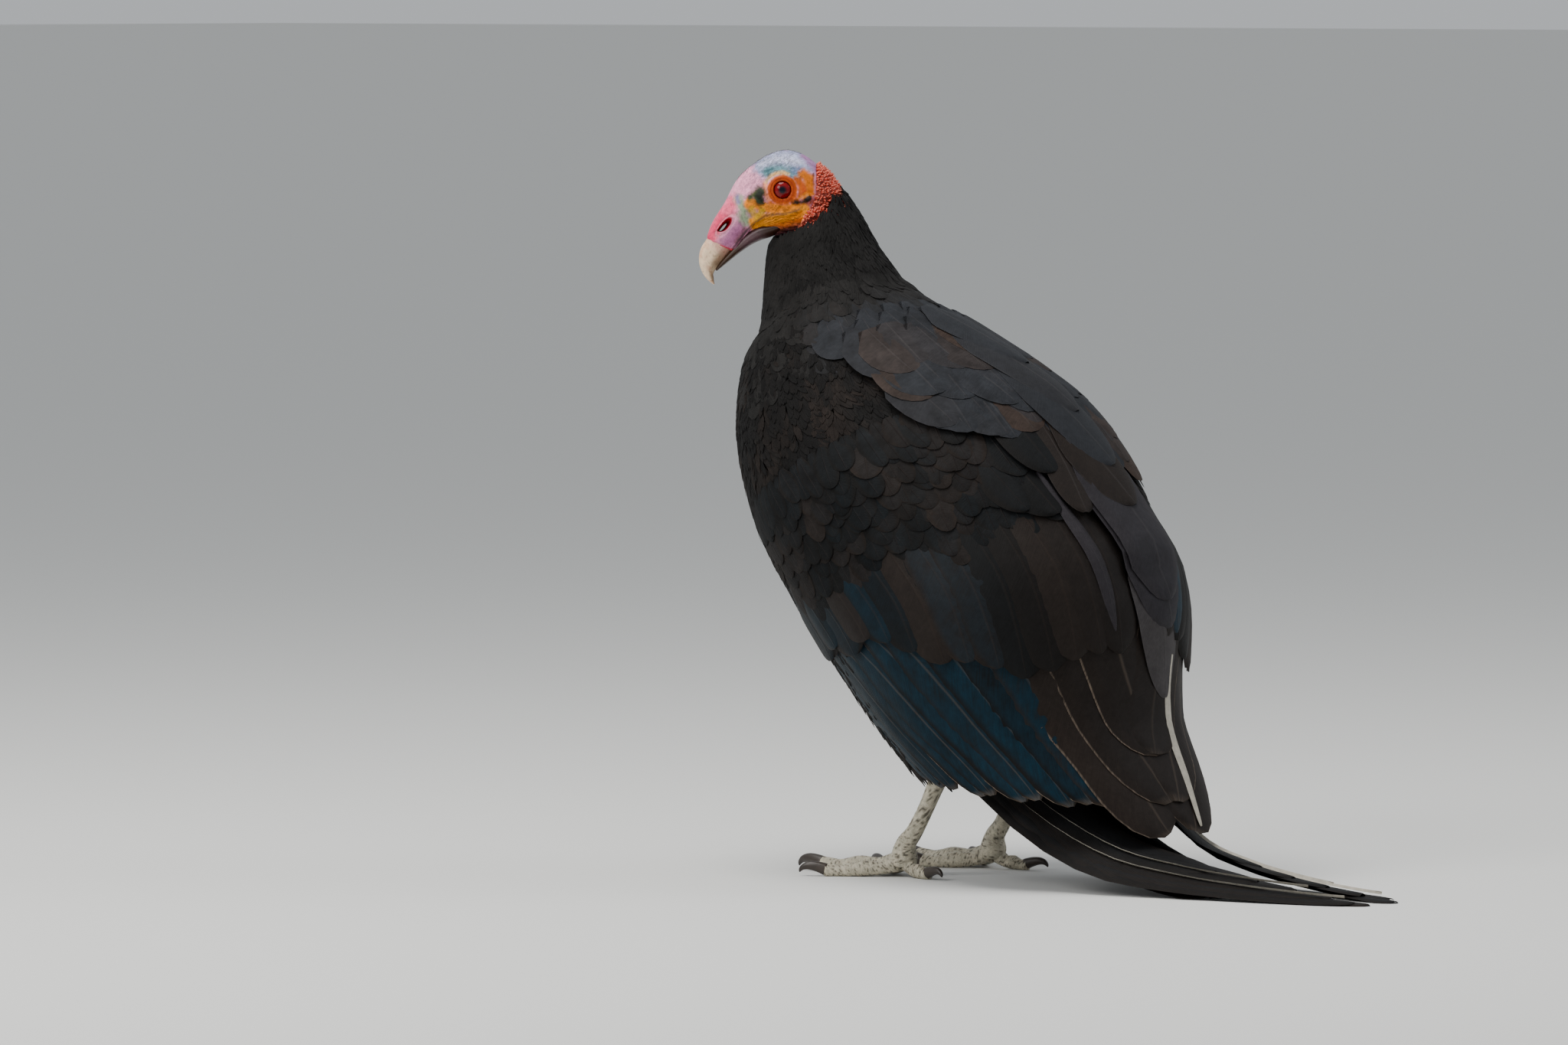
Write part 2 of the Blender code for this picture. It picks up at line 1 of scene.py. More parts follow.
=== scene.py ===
"""The looks of a standing lesser yellow-headed vulture: skin, eyes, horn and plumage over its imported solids.

Metres, +Z up. The bird faces -Y and its left side is +X. Every feather is laid on a sheet: a smooth
surface round the bird's middle line, on which a place is a station along the line and an angle from
the middle of the back. Lengths in the tables are metres unless a comment says millimetres.
"""

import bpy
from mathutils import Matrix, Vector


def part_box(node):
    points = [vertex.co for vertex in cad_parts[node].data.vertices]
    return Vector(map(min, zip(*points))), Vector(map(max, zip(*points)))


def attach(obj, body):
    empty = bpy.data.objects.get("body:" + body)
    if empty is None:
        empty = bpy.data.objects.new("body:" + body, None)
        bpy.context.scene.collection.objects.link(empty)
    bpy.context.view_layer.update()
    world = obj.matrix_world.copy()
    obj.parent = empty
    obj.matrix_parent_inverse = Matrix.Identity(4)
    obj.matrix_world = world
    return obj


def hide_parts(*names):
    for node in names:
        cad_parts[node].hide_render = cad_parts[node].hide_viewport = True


bl_info = {
    "name": "Standing Vulture Looks",
    "version": (1, 0, 0),
    "blender": (4, 5, 0),
    "location": "View3D > Sidebar > Vulture",
    "description": "Skin, eyes, horn and feathers for a standing vulture",
    "category": "Object",
}

from functools import lru_cache, partial
from math import cos, pi, radians, sin

import bmesh
import bpy
import numpy as np
from bpy.props import FloatProperty, FloatVectorProperty, IntProperty, PointerProperty
from mathutils import Vector, noise
from mathutils.bvhtree import BVHTree

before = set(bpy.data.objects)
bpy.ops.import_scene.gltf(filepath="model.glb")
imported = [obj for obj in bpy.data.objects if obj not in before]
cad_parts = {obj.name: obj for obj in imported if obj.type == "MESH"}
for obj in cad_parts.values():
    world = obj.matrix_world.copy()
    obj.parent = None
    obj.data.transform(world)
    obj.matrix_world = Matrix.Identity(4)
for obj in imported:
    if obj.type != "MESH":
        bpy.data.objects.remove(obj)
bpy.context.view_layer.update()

MM = 0.001
SIDES = (("left", 1), ("right", -1))
X_AXIS = np.array((1.0, 0.0, 0.0))

# Middle line from the back of the head to the end of the wing: y, z, and in degrees how far a section's back
# edge is raised
SPINE = (
    (-0.1704, 0.3845, -27),
    (-0.1739, 0.3775, -11),
    (-0.1764, 0.3650, -4),
    (-0.1759, 0.3490, 7),
    (-0.1724, 0.3310, 15),
    (-0.1679, 0.3115, 22),
    (-0.1654, 0.2980, 27),
    (-0.1547, 0.2795, 30),
    (-0.1364, 0.2580, 29),
    (-0.1039, 0.2258, 27),
    (-0.0764, 0.1935, 25),
    (-0.0604, 0.1720, 22),
    (-0.0436, 0.1505, 18),
    (-0.0355, 0.1290, 13),
    (-0.0309, 0.1075, 8),
    (-0.0234, 0.0860, 2),
    (-0.0084, 0.0645, -4),
    (0.0060, 0.0430, -10),
)
# Middle line of the throat, with level sections down to where the breast begins
THROAT_SPINE = (
    (-0.1704, 0.3845, -20),
    (-0.1739, 0.3760, -12),
    (-0.1760, 0.3640, -7),
    (-0.1755, 0.3500, -3),
    (-0.1725, 0.3350, 0),
    (-0.1690, 0.3200, 2),
    (-0.1660, 0.3050, 4),
    (-0.1630, 0.2900, 6),
    (-0.1590, 0.2750, 8),
)
REACH = 0.3  # a ray from this far out finds the body's outside
STATION_STEP = 0.1  # between the rows of a sheet
ANGLES = np.radians(np.arange(-200.0, 201.0, 2.0))  # the columns of a sheet round a spine
BLUR = 3  # how often a sheet is smoothed each way
HOLLOW = radians(62)  # how far out from the back's middle the wings are bridged
BAND = np.linspace(-0.06, 0.06, 41)  # the columns of a band, from its middle

TRUNK_NODES = ("neck", "ruff", "breast", "belly", "rump")


# Numbers and curves


def curve(table, s):
    """Rows of a table at fractional stations, on a Catmull-Rom curve through them."""
    table = np.asarray(table, float)
    s = np.clip(np.atleast_1d(np.asarray(s, float)), 0, len(table) - 1)
    i = np.minimum(s.astype(int), len(table) - 2)
    t = (s - i)[..., None]
    before, a, b, after = (table[np.clip(i + k, 0, len(table) - 1)] for k in (-1, 0, 1, 2))
    slope_a, slope_b = (b - before) / 2, (after - a) / 2
    return (
        (2 * t**3 - 3 * t**2 + 1) * a
        + (t**3 - 2 * t**2 + t) * slope_a
        + (3 * t**2 - 2 * t**3) * b
        + (t**3 - t**2) * slope_b
    )


def ramp(x, low, high):
    """0 below low, 1 above high, smooth between."""
    t = np.clip((x - low) / (high - low), 0, 1)
    return t * t * (3 - 2 * t)


def unit(v):
    return v / (np.linalg.norm(v, axis=-1, keepdims=True) + 1e-12)


def dot(a, b):
    return (a * b).sum(-1, keepdims=True)


def mixed(first, share, second):
    """Colours between two, with a share of the second for each row."""
    share = share[:, None]
    return first * (1 - share) + second * share


def flow(points, scale, octaves=3, shift=0.0):
    """Smooth noise between about -1 and 1 at each point."""
    return np.array([
        noise.fractal(Vector(p) / scale + Vector((shift, shift, shift)), 0.8, 2.0, octaves) for p in points
    ])


# Sheets


def tree_of(nodes):
    """A search tree of the outside of several solids."""
    corners, faces = [], []
    for name in nodes:
        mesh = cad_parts[name].data
        start = len(corners)
        corners += [v.co.copy() for v in mesh.vertices]
        faces += [[start + i for i in p.vertices] for p in mesh.polygons]
    return BVHTree.FromPolygons(corners, faces)


def blurred(grid, times, axis):
    """Averages each value with its neighbours along one axis."""
    for _ in range(times):
        last = grid.shape[axis] - 1
        low = np.take(grid, [0, *range(last)], axis)
        high = np.take(grid, [*range(1, last + 1), last], axis)
        grid = (low + 2 * grid + high) / 4
    return grid


class Sheet:
    """A smooth surface given by a grid of points: rows are stations, columns are angles or offsets."""

    def __init__(self, points, low, turn, outwards):
        self.points, self.low, self.turn = points, low, turn
        self.slope_s = np.gradient(points, STATION_STEP, axis=0)
        self.slope_a = np.gradient(points, turn, axis=1)
        normals = unit(np.cross(self.slope_s, self.slope_a))
        self.normals = normals * np.sign(dot(normals, outwards))

    def pick(self, grid, s, a):
        """A grid's value at fractional places, carried straight on past its ends."""
        x, y = s / STATION_STEP, (a - self.low) / self.turn
        i = np.clip(np.floor(x).astype(int), 0, grid.shape[0] - 2)
        j = np.clip(np.floor(y).astype(int), 0, grid.shape[1] - 2)
        u, v = (x - i)[..., None], (y - j)[..., None]
        near = grid[i, j] * (1 - u) + grid[i + 1, j] * u
        return near * (1 - v) + (grid[i, j + 1] * (1 - u) + grid[i + 1, j + 1] * u) * v

    def at(self, s, a):
        return self.pick(self.points, s, a)

    def unwrapped(self, s, a):
        """A place's spot on the unwrap of the surface, each way from 0 to 1."""
        rows, columns = (count - 1 for count in self.points.shape[:2])
        return s / STATION_STEP / rows, (a - self.low) / self.turn / columns


def filled(radius):
    """Gives the places that no ray met the value of the nearest one that was met."""
    known = np.isfinite(radius)
    for i in np.flatnonzero(known.any(1)):
        places = np.flatnonzero(known[i])
        radius[i] = np.interp(np.arange(radius.shape[1]), places, radius[i, places])
    full = np.flatnonzero(known.any(1))
    for i in np.flatnonzero(~known.any(1)):
        radius[i] = radius[full[np.argmin(np.abs(full - i))]]
    return radius


def bridged(radius, a):
    """Spans the hollow over the back from wing to wing, row by row."""
    near = np.flatnonzero(np.abs(a) <= HOLLOW)
    spanned = radius.copy()
    for j in near:
        for first in near[near < j]:
            for last in near[near > j]:
                one, two = radius[:, first], radius[:, last]
                chord = one * two * sin(a[last] - a[first]) / (
                    one * sin(a[j] - a[first]) + two * sin(a[last] - a[j]))
                spanned[:, j] = np.maximum(spanned[:, j], chord)
    return spanned


def stations(rows):
    return np.arange(0, len(rows) - 1 + STATION_STEP / 2, STATION_STEP)


def sheet_over(nodes, spine, bridge=False):
    """The outside of some solids, measured outwards from a spine of y, z and rise."""
    tree = tree_of(nodes)
    s, a = stations(spine), ANGLES
    rows = curve(spine, s)
    level, rise = np.zeros(len(s)), np.radians(rows[:, 2])
    middle = np.column_stack((level, rows[:, :2]))
    back = np.stack((level, np.cos(rise), np.sin(rise)), 1)
    out = X_AXIS * np.sin(a)[None, :, None] + back[:, None] * np.cos(a)[None, :, None]
    radius = np.full(out.shape[:2], np.nan)
    for i, j in np.ndindex(radius.shape):
        ray = Vector(out[i, j])
        hit = tree.ray_cast(Vector(middle[i]) + ray * REACH, -ray, REACH)
        if hit[0] is not None:
            radius[i, j] = (hit[0] - Vector(middle[i])).length
    radius = filled(radius)
    if bridge:
        radius = bridged(radius, a)
    radius = blurred(blurred(radius, BLUR, 0), BLUR, 1)
    return Sheet(middle[:, None] + out * radius[..., None], a[0], radians(2.0), out)


def ribbon(rows):
    """A band through rows of x, y, z, tilt in degrees and droop, whose columns are metres from its middle."""
    table = curve(rows, stations(rows))
    middle, tilt = table[:, :3], np.radians(table[:, 3])
    tangent = unit(np.gradient(middle, axis=0))
    across = np.stack((np.cos(tilt), np.zeros(len(tilt)), -np.sin(tilt)), 1)
    across = unit(across - tangent * dot(across, tangent))
    face = np.cross(across, tangent)
    face *= np.sign(face[:, 2:] + 1e-9)
    points = middle[:, None] + across[:, None] * BAND[None, :, None]
    points -= face[:, None] * (table[:, 4:5] * (BAND / BAND[-1]) ** 2)[..., None]
    return Sheet(points, BAND[0], BAND[1] - BAND[0], np.repeat(face[:, None], len(BAND), 1))


# Feathers


class Vane:
    """A feather's blade as a closed sheet: a grid whose edge joins its upper and its under side."""

    def __init__(self, rows, columns, crowd=1.5):
        bm = bmesh.new()
        bmesh.ops.create_grid(bm, x_segments=columns, y_segments=rows, size=0.5)
        upper = bm.faces[:]
        copied = bmesh.ops.duplicate(bm, geom=upper)["geom"]
        under = [part for part in copied if isinstance(part, bmesh.types.BMFace)]
        bmesh.ops.reverse_faces(bm, faces=under)
        for faces, height in ((upper, 1.0), (under, -1.0)):
            for vert in {v for face in faces for v in face.verts}:
                if max(abs(vert.co.x), abs(vert.co.y)) < 0.499:
                    vert.co.z = height
        bmesh.ops.remove_doubles(bm, verts=bm.verts, dist=1e-4)
        bm.verts.index_update()
        places = np.array([v.co for v in bm.verts])
        self.row = np.rint((places[:, 1] + 0.5) * rows).astype(int)
        self.across = places[:, 0] * 2
        self.side = places[:, 2]
        self.faces = np.array([[v.index for v in face.verts] for face in bm.faces])
        self.along = 1 - (1 - np.arange(rows + 1) / rows) ** crowd
        bm.free()


def outline(along, width, tip, neck=0.35):
    """Half width of feathers along their length: narrow at the root, rounded over a last share."""
    root = neck + (1 - neck) * ramp(along, 0.0, 0.42)
    taper = np.clip((along - (1 - tip)) / (tip * 1.012), 0, 1)
    return (width / 2)[:, None] * (root * np.sqrt(1 - taper**2))


def trace(sheet, s, a, turn, length, along):
    """Middle lines of feathers from their roots, as stations and angles of the sheet."""
    line_s, line_a = [s], [a]
    for t0, t1 in zip(along, along[1:]):
        stretch = length * (t1 - t0)
        s = s + np.cos(turn) * stretch / np.linalg.norm(sheet.pick(sheet.slope_s, s, a), axis=-1)
        a = a + np.sin(turn) * stretch / np.linalg.norm(sheet.pick(sheet.slope_a, s, a), axis=-1)
        line_s.append(s)
        line_a.append(a)
    return np.stack(line_s, 1), np.stack(line_a, 1)


def lay(sheet, vane, line_s, line_a, half, height, thick=0.0003, droop=0.0006, roll=0.0):
    """The blades' corners, with each blade kept close to the sheet on both sides of its middle line."""
    middle = sheet.at(line_s, line_a)
    ahead = np.concatenate((middle[:, 1:] - middle[:, :-1], middle[:, -1:] - middle[:, -2:-1]), 1)
    behind = np.concatenate((middle[:, 1:2] - middle[:, :1], middle[:, 1:] - middle[:, :-1]), 1)
    tangent = unit(ahead + behind)
    across = unit(np.cross(tangent, sheet.pick(sheet.normals, line_s, line_a)))
    row = vane.row
    s, a = line_s[:, row], line_a[:, row]
    offset = across[:, row] * (vane.across * half[:, row])[..., None]
    slope_s, slope_a = sheet.pick(sheet.slope_s, s, a), sheet.pick(sheet.slope_a, s, a)
    s = s + (dot(offset, slope_s) / dot(slope_s, slope_s))[..., 0]
    a = a + (dot(offset, slope_a) / dot(slope_a, slope_a))[..., 0]
    roll = np.broadcast_to(np.asarray(roll, float).reshape(-1, 1), (len(s), 1))
    lift = height[:, row] - droop * vane.across**2 + roll * vane.across + vane.side * thick / 2
    return sheet.at(s, a) + unit(sheet.pick(sheet.normals, s, a)) * lift[..., None]


class Coat:
    """Feathers collected from arrays, to become one joined mesh."""

    def __init__(self):
        self.corners, self.faces, self.vane_map, self.bake_map = [], [], [], []
        self.tint, self.edge = [], []
        self.count = 0

    def add(self, corners, vane, place, tint, edge, side=1):
        """Adds feathers: corners (feathers, corners, 3), place their roots' spots on the unwrap,
        tint their colour with the sheen's strength in its alpha, edge the colour of their edges."""
        many, each = corners.shape[:2]
        if side < 0:
            corners = corners * (-1, 1, 1)
        faces = vane.faces[:, ::-1] if side < 0 else vane.faces
        starts = self.count + each * np.arange(many)
        self.faces.append((starts[:, None, None] + faces[None]).reshape(-1, 4))
        self.corners.append(corners.reshape(-1, 3))
        flat = np.stack((vane.across * 0.5 + 0.5, vane.along[vane.row]), 1)
        self.vane_map.append(np.tile(flat, (many, 1)))
        patch = np.stack(place, -1)[:, None] + (flat - 0.5)[None] * PATCH
        self.bake_map.append(np.clip(patch, 0.001, 0.999).reshape(-1, 2))
        for store, colour in ((self.tint, tint), (self.edge, edge)):
            store.append(np.repeat(np.asarray(colour, float), each, 0))
        self.count += many * each

    def finish(self, name, material):
        corners, faces = np.concatenate(self.corners), np.concatenate(self.faces)
        obj = mesh_from_arrays(name, corners, faces, material)
        mesh = obj.data
        loops = faces.ravel()
        for label, store in (("vane", self.vane_map), ("OFBake", self.bake_map)):
            layer = mesh.uv_layers.new(name=label)
            layer.uv.foreach_set("vector", np.concatenate(store)[loops].astype(np.float32).ravel())
        for label, store in (("tint", self.tint), ("edge", self.edge)):
            layer = mesh.attributes.new(label, "FLOAT_COLOR", "POINT")
            layer.data.foreach_set("color", np.concatenate(store).astype(np.float32).ravel())
        mesh.set_sharp_from_angle(angle=radians(70))
        return obj


PATCH = 0.003  # a tuft's size on the bake map


def linked(name, data):
    """A new object in the scene for a mesh, a lamp or a camera."""
    obj = bpy.data.objects.new(name, data)
    bpy.context.scene.collection.objects.link(obj)
    return obj


def mesh_from_arrays(name, corners, faces, material):
    mesh = bpy.data.meshes.new(name)
    mesh.vertices.add(len(corners))
    mesh.vertices.foreach_set("co", np.asarray(corners, np.float32).ravel())
    mesh.loops.add(faces.size)
    mesh.loops.foreach_set("vertex_index", faces.ravel().astype(np.int32))
    mesh.polygons.add(len(faces))
    mesh.polygons.foreach_set("loop_start", np.arange(0, faces.size, faces.shape[1], dtype=np.int32))
    mesh.update(calc_edges=True)
    mesh.validate()
    mesh.shade_smooth()
    mesh.materials.append(material)
    return linked(name, mesh)


def at_stations(table, s):
    """The columns of a table at stations, straight between its rows."""
    table = np.asarray(table, float)
    return [np.interp(s, table[:, 0], table[:, k]) for k in range(1, table.shape[1])]


def rows_of_roots(sheet, first, last, edges, sizes, gap, pitch, dice):
    """Roots in staggered rows between two stations. Rows lie a share of the feathers' length apart, gap, and
    the roots of a row a share of their width, pitch."""
    s_all, a_all = [], []
    s, odd = first, 0
    while s < last:
        low, high = np.radians(at_stations(edges, s))
        middle, here = np.array([(low + high) / 2]), np.array([s])
        wide = np.linalg.norm(sheet.pick(sheet.slope_a, here, middle))
        long = np.linalg.norm(sheet.pick(sheet.slope_s, here, middle))
        length, width = at_stations(sizes, s)
        near, far = gap * length, pitch * width
        count = max(1, int((high - low) * wide / far))
        a = low + (high - low) * (np.arange(count) + 0.25 + 0.5 * odd) / count
        a = a + dice.normal(0, 0.12 * far / wide, count)
        s_all.append(s + dice.normal(0, 0.16 * near / long, count))
        a_all.append(a)
        s, odd = s + near / long, 1 - odd
    return np.concatenate(s_all), np.concatenate(a_all)


# Colours and sizes that a user would change


def tone(label, description, default):
    return FloatVectorProperty(name=label, description=description, default=default, size=3,
                               subtype="COLOR", min=0.0, max=1.0)


class VultureLooks(bpy.types.PropertyGroup):
    """Colours and small sizes of the bird's coat and skin."""

    coal: tone("Coal", "Short neck feathers", (0.0125, 0.0118, 0.0112))
    soot: tone("Soot", "Small wing coverts", (0.0062, 0.0058, 0.0056))
    slate: tone("Slate", "Fresh feathers of the back", (0.0185, 0.0196, 0.0228))
    rust: tone("Rust", "Worn feathers", (0.036, 0.0235, 0.0175))
    bark: tone("Bark", "Dull brown of the wing", (0.015, 0.0112, 0.0094))
    violet: tone("Violet", "Longest inner wing feathers", (0.024, 0.0215, 0.0245))
    ash: tone("Ash", "Bleached feather tips", (0.0850, 0.0770, 0.0740))
    sheen: tone("Sheen", "Teal gloss of the long wing feathers", (0.003, 0.0165, 0.0275))
    margin: tone("Margin", "Pale brown edges of the wing feathers", (0.19, 0.145, 0.11))
    bone: tone("Bone", "Ivory shafts and the pale edge of the far wing", (0.42, 0.39, 0.33))
    coat_depth: FloatProperty(name="Coat depth", description="From the skin to the feathers' outside",
                              default=0.0045, unit="LENGTH")
    feather_lift: FloatProperty(name="Feather lift", description="How high feather tips stand over the body",
                                default=0.0014, unit="LENGTH")
    dice_seed: IntProperty(name="Seed", description="Start of the random draws", default=11, min=0)


def looks():
    return bpy.context.scene.vulture_looks


def colour(name):
    return np.array(getattr(looks(), name))


# Materials


def socket_value(tree, target, value):
    if isinstance(value, bpy.types.NodeSocket):
        tree.links.new(value, target)
    else:
        target.default_value = value


def fill(tree, sockets, values):
    """Gives each input its constant, or a link from the output that feeds it."""
    for key, value in values.items():
        socket_value(tree, sockets[key], value)


def node(tree, kind, inputs=None, **settings):
    """A node with its settings and with inputs that are values or sockets."""
    made = tree.nodes.new(kind)
    for key, value in settings.items():
        setattr(made, key, value)
    fill(tree, made.inputs, inputs or {})
    return made


def maths(tree, operation, *values):
    return node(tree, "ShaderNodeMath", dict(enumerate(values)), operation=operation).outputs[0]


def between_values(tree, value, low, high, out_low=0.0, out_high=1.0):
    """A smooth step of a value."""
    made = node(tree, "ShaderNodeMapRange", {0: value, 1: low, 2: high, 3: out_low, 4: out_high},
                interpolation_type="SMOOTHSTEP")
    return made.outputs[0]


def blend(tree, share, first, second):
    """A colour between two; a colour mix has its colours at inputs 6 and 7 and its result at output 2."""
    return node(tree, "ShaderNodeMix", {0: share, 6: first, 7: second}, data_type="RGBA").outputs[2]


def dimmed(tree, paint, light):
    return node(tree, "ShaderNodeVectorMath", {0: paint, 3: light}, operation="SCALE").outputs[0]


def grain(tree, vector, scale, detail=2.0, roughness=0.5):
    values = {"Vector": vector, "Scale": scale, "Detail": detail, "Roughness": roughness}
    return node(tree, "ShaderNodeTexNoise", values).outputs[0]


def bumps(tree, height, strength, distance):
    values = {"Height": height, "Strength": strength, "Distance": distance}
    return node(tree, "ShaderNodeBump", values).outputs[0]


def own_place(tree):
    return node(tree, "ShaderNodeTexCoord").outputs["Object"]


def stored(tree, name, output="Color"):
    """What the mesh keeps under a name at each corner."""
    return node(tree, "ShaderNodeAttribute", attribute_name=name).outputs[output]


def new_finish(name):
    """A material, its node tree and its shader's inputs."""
    material = bpy.data.materials.new(name)
    material.use_nodes = True
    return material, material.node_tree, material.node_tree.nodes["Principled BSDF"].inputs


def group_tree(name, inputs, outputs):
    tree = bpy.data.node_groups.new(name, "ShaderNodeTree")
    for label, kind, default in inputs:
        made = tree.interface.new_socket(label, in_out="INPUT", socket_type="NodeSocket" + kind)
        made.default_value = default
    for label, kind in outputs:
        tree.interface.new_socket(label, in_out="OUTPUT", socket_type="NodeSocket" + kind)
    return tree, tree.nodes.new("NodeGroupInput").outputs, tree.nodes.new("NodeGroupOutput").inputs


def feather_group():
    """Barbs, shaft, pale edges and sheen of a feather from its own map."""
    tree, given, gives = group_tree(
        "feather_blade",
        (("Tint", "Color", (0, 0, 0, 1)), ("Sheen", "Float", 0.0), ("Edge", "Color", (0, 0, 0, 1)),
         ("Edge Strength", "Float", 0.0), ("Sheen Colour", "Color", (0, 0, 0, 1)), ("Barbs", "Float", 60.0),
         ("Mottle", "Float", 0.5)),
        (("Color", "Color"), ("Roughness", "Float"), ("Height", "Float")),
    )
    do, step = partial(maths, tree), partial(between_values, tree)
    parts = node(tree, "ShaderNodeSeparateXYZ", {0: node(tree, "ShaderNodeUVMap", uv_map="vane").outputs[0]})
    across, along = parts.outputs[0], parts.outputs[1]
    off = do("ABSOLUTE", do("MULTIPLY_ADD", across, 2.0, -1.0))
    place = own_place(tree)
    # Barbs run out from the shaft and towards the tip
    barb_place = node(tree, "ShaderNodeCombineXYZ", {
        0: do("MULTIPLY", do("SUBTRACT", along, do("MULTIPLY", off, 0.16)), given["Barbs"]),
        1: do("MULTIPLY", across, 2.5),
        2: do("MULTIPLY", grain(tree, place, 4.0, 0.0), 9.0)})
    barbs = grain(tree, barb_place.outputs[0], 1.0, 3.0, 0.6)
    cloud = grain(tree, place, 95.0, 3.0, 0.6)
    fine = grain(tree, place, 420.0, 2.0)
    shaft = step(off, 0.0, 0.07, 1.0, 0.0)
    border = do("MAXIMUM", step(off, 0.94, 0.98), do("MULTIPLY", step(along, 0.97, 1.0), 0.4))
    border = do("MULTIPLY", border, given["Edge Strength"])
    cloudy = do("ADD", do("MULTIPLY", cloud, 0.5), do("MULTIPLY", barbs, 0.5))
    inside = do("MULTIPLY", step(off, 0.86, 0.5), step(cloudy, 0.15, 0.60))
    # Painted sheen: the teal gloss is mixed into the colour inside each vane
    gloss = do("MULTIPLY", inside, given["Sheen"])
    paint = blend(tree, gloss, given["Tint"], given["Sheen Colour"])
    paint = blend(tree, do("MULTIPLY", border, step(barbs, 0.3, 0.65, 0.35, 1.0)), paint, given["Edge"])
    uneven = do("MULTIPLY_ADD", do("MULTIPLY", do("SUBTRACT", cloud, 0.5), given["Mottle"]), 1.6, 1.0)
    light = do("MULTIPLY", do("MULTIPLY_ADD", barbs, 0.6, 0.7), uneven)
    light = do("MULTIPLY", light, do("MULTIPLY_ADD", fine, 0.5, 0.75))
    fill(tree, gives, {
        "Color": blend(tree, do("MULTIPLY", shaft, 0.14), dimmed(tree, paint, light), given["Edge"]),
        "Roughness": do("SUBTRACT", do("MULTIPLY_ADD", barbs, 0.22, 0.46), do("MULTIPLY", gloss, 0.08)),
        "Height": do("ADD", barbs, do("MULTIPLY", shaft, 1.2))})
    return tree


def feather_material(name, barbs, mottle, roughness_gain, bump):
    """A feather finish that reads each feather's own colours from the mesh."""
    material, tree, shader = new_finish(name)
    group = bpy.data.node_groups.get("feather_blade") or feather_group()
    blade = node(tree, "ShaderNodeGroup", node_tree=group)
    fill(tree, blade.inputs, {
        "Tint": stored(tree, "tint"), "Sheen": stored(tree, "tint", "Alpha"), "Edge": stored(tree, "edge"),
        "Edge Strength": stored(tree, "edge", "Alpha"), "Sheen Colour": (*colour("sheen"), 1),
        "Barbs": barbs, "Mottle": mottle})
    made = blade.outputs
    fill(tree, shader, {
        "Base Color": made["Color"], "Roughness": maths(tree, "ADD", made["Roughness"], roughness_gain),
        "Normal": bumps(tree, made["Height"], bump, 0.0004), "Specular IOR Level": 0.08})
    return material


# Coat


# Each palette: main colour, second colour, how much of the second, sheen, edge colour, edge strength and
# unevenness
PALETTES = {
    "neck": ("coal", "soot", 0.35, 0.0, "coal", 0.0, 0.05),
    "ruff": ("slate", "coal", 0.40, 0.0, "bark", 0.0, 0.06),
    "mantle": ("slate", "rust", 0.36, 0.03, "ash", 0.05, 0.04),
    "covert": ("soot", "bark", 0.35, 0.0, "bark", 0.0, 0.06),
    "median": ("bark", "soot", 0.6, 0.10, "rust", 0.04, 0.12),
    "greater": ("soot", "bark", 0.5, 0.75, "rust", 0.10, 0.06),
    "flight": ("soot", "bark", 0.25, 0.85, "margin", 0.85, 0.05),
    "brown": ("bark", "rust", 0.45, 0.05, "margin", 0.55, 0.05),
    "violet": ("violet", "slate", 0.3, 0.06, "ash", 0.06, 0.03),
    "grey": ("ash", "violet", 0.70, 0.0, "ash", 0.2, 0.05),
    "teal": ("slate", "slate", 0.5, 0.95, "slate", 0.0, 0.05),
    "worn": ("bark", "slate", 0.55, 0.0, "ash", 0.12, 0.05),
    "ivory": ("bone", "bone", 0.5, 0.0, "bone", 0.2, 0.04),
    "black": ("soot", "slate", 0.2, 0.05, "rust", 0.12, 0.05),
    "hand": ("soot", "bark", 0.45, 0.1, "bark", 0.3, 0.06),
    "tail": ("bark", "soot", 0.6, 0.08, "rust", 0.3, 0.08),
    "belly": ("soot", "coal", 0.5, 0.0, "bark", 0.1, 0.10),
}


def paints(palette, points, dice, glossy=1.0):
    """A tint with sheen and an edge colour with strength for each feather, patchy over the body."""
    main, other, share, sheen, edge, strength, uneven = PALETTES[palette]
    many = len(points)
    patchy = flow(points, 0.034, 3, 3.0) * 0.5 + 0.5 + dice.normal(0, 0.07, many)
    tint = mixed(colour(main), ramp(patchy, 1.0 - share - 0.18, 1.0 - share + 0.18), colour(other))
    tint = tint * np.clip(1 + dice.normal(0, uneven, many), 0.5, 1.6)[:, None]
    gloss = np.clip(glossy * sheen * (1 + dice.normal(0, 0.25, many)), 0, 1)[:, None]
    rim = np.repeat(colour(edge)[None], many, 0) * np.clip(1 + dice.normal(0, 0.2, many), 0.5, 1.5)[:, None]
    return np.concatenate((tint, gloss), 1), np.concatenate((rim, np.full((many, 1), strength)), 1)


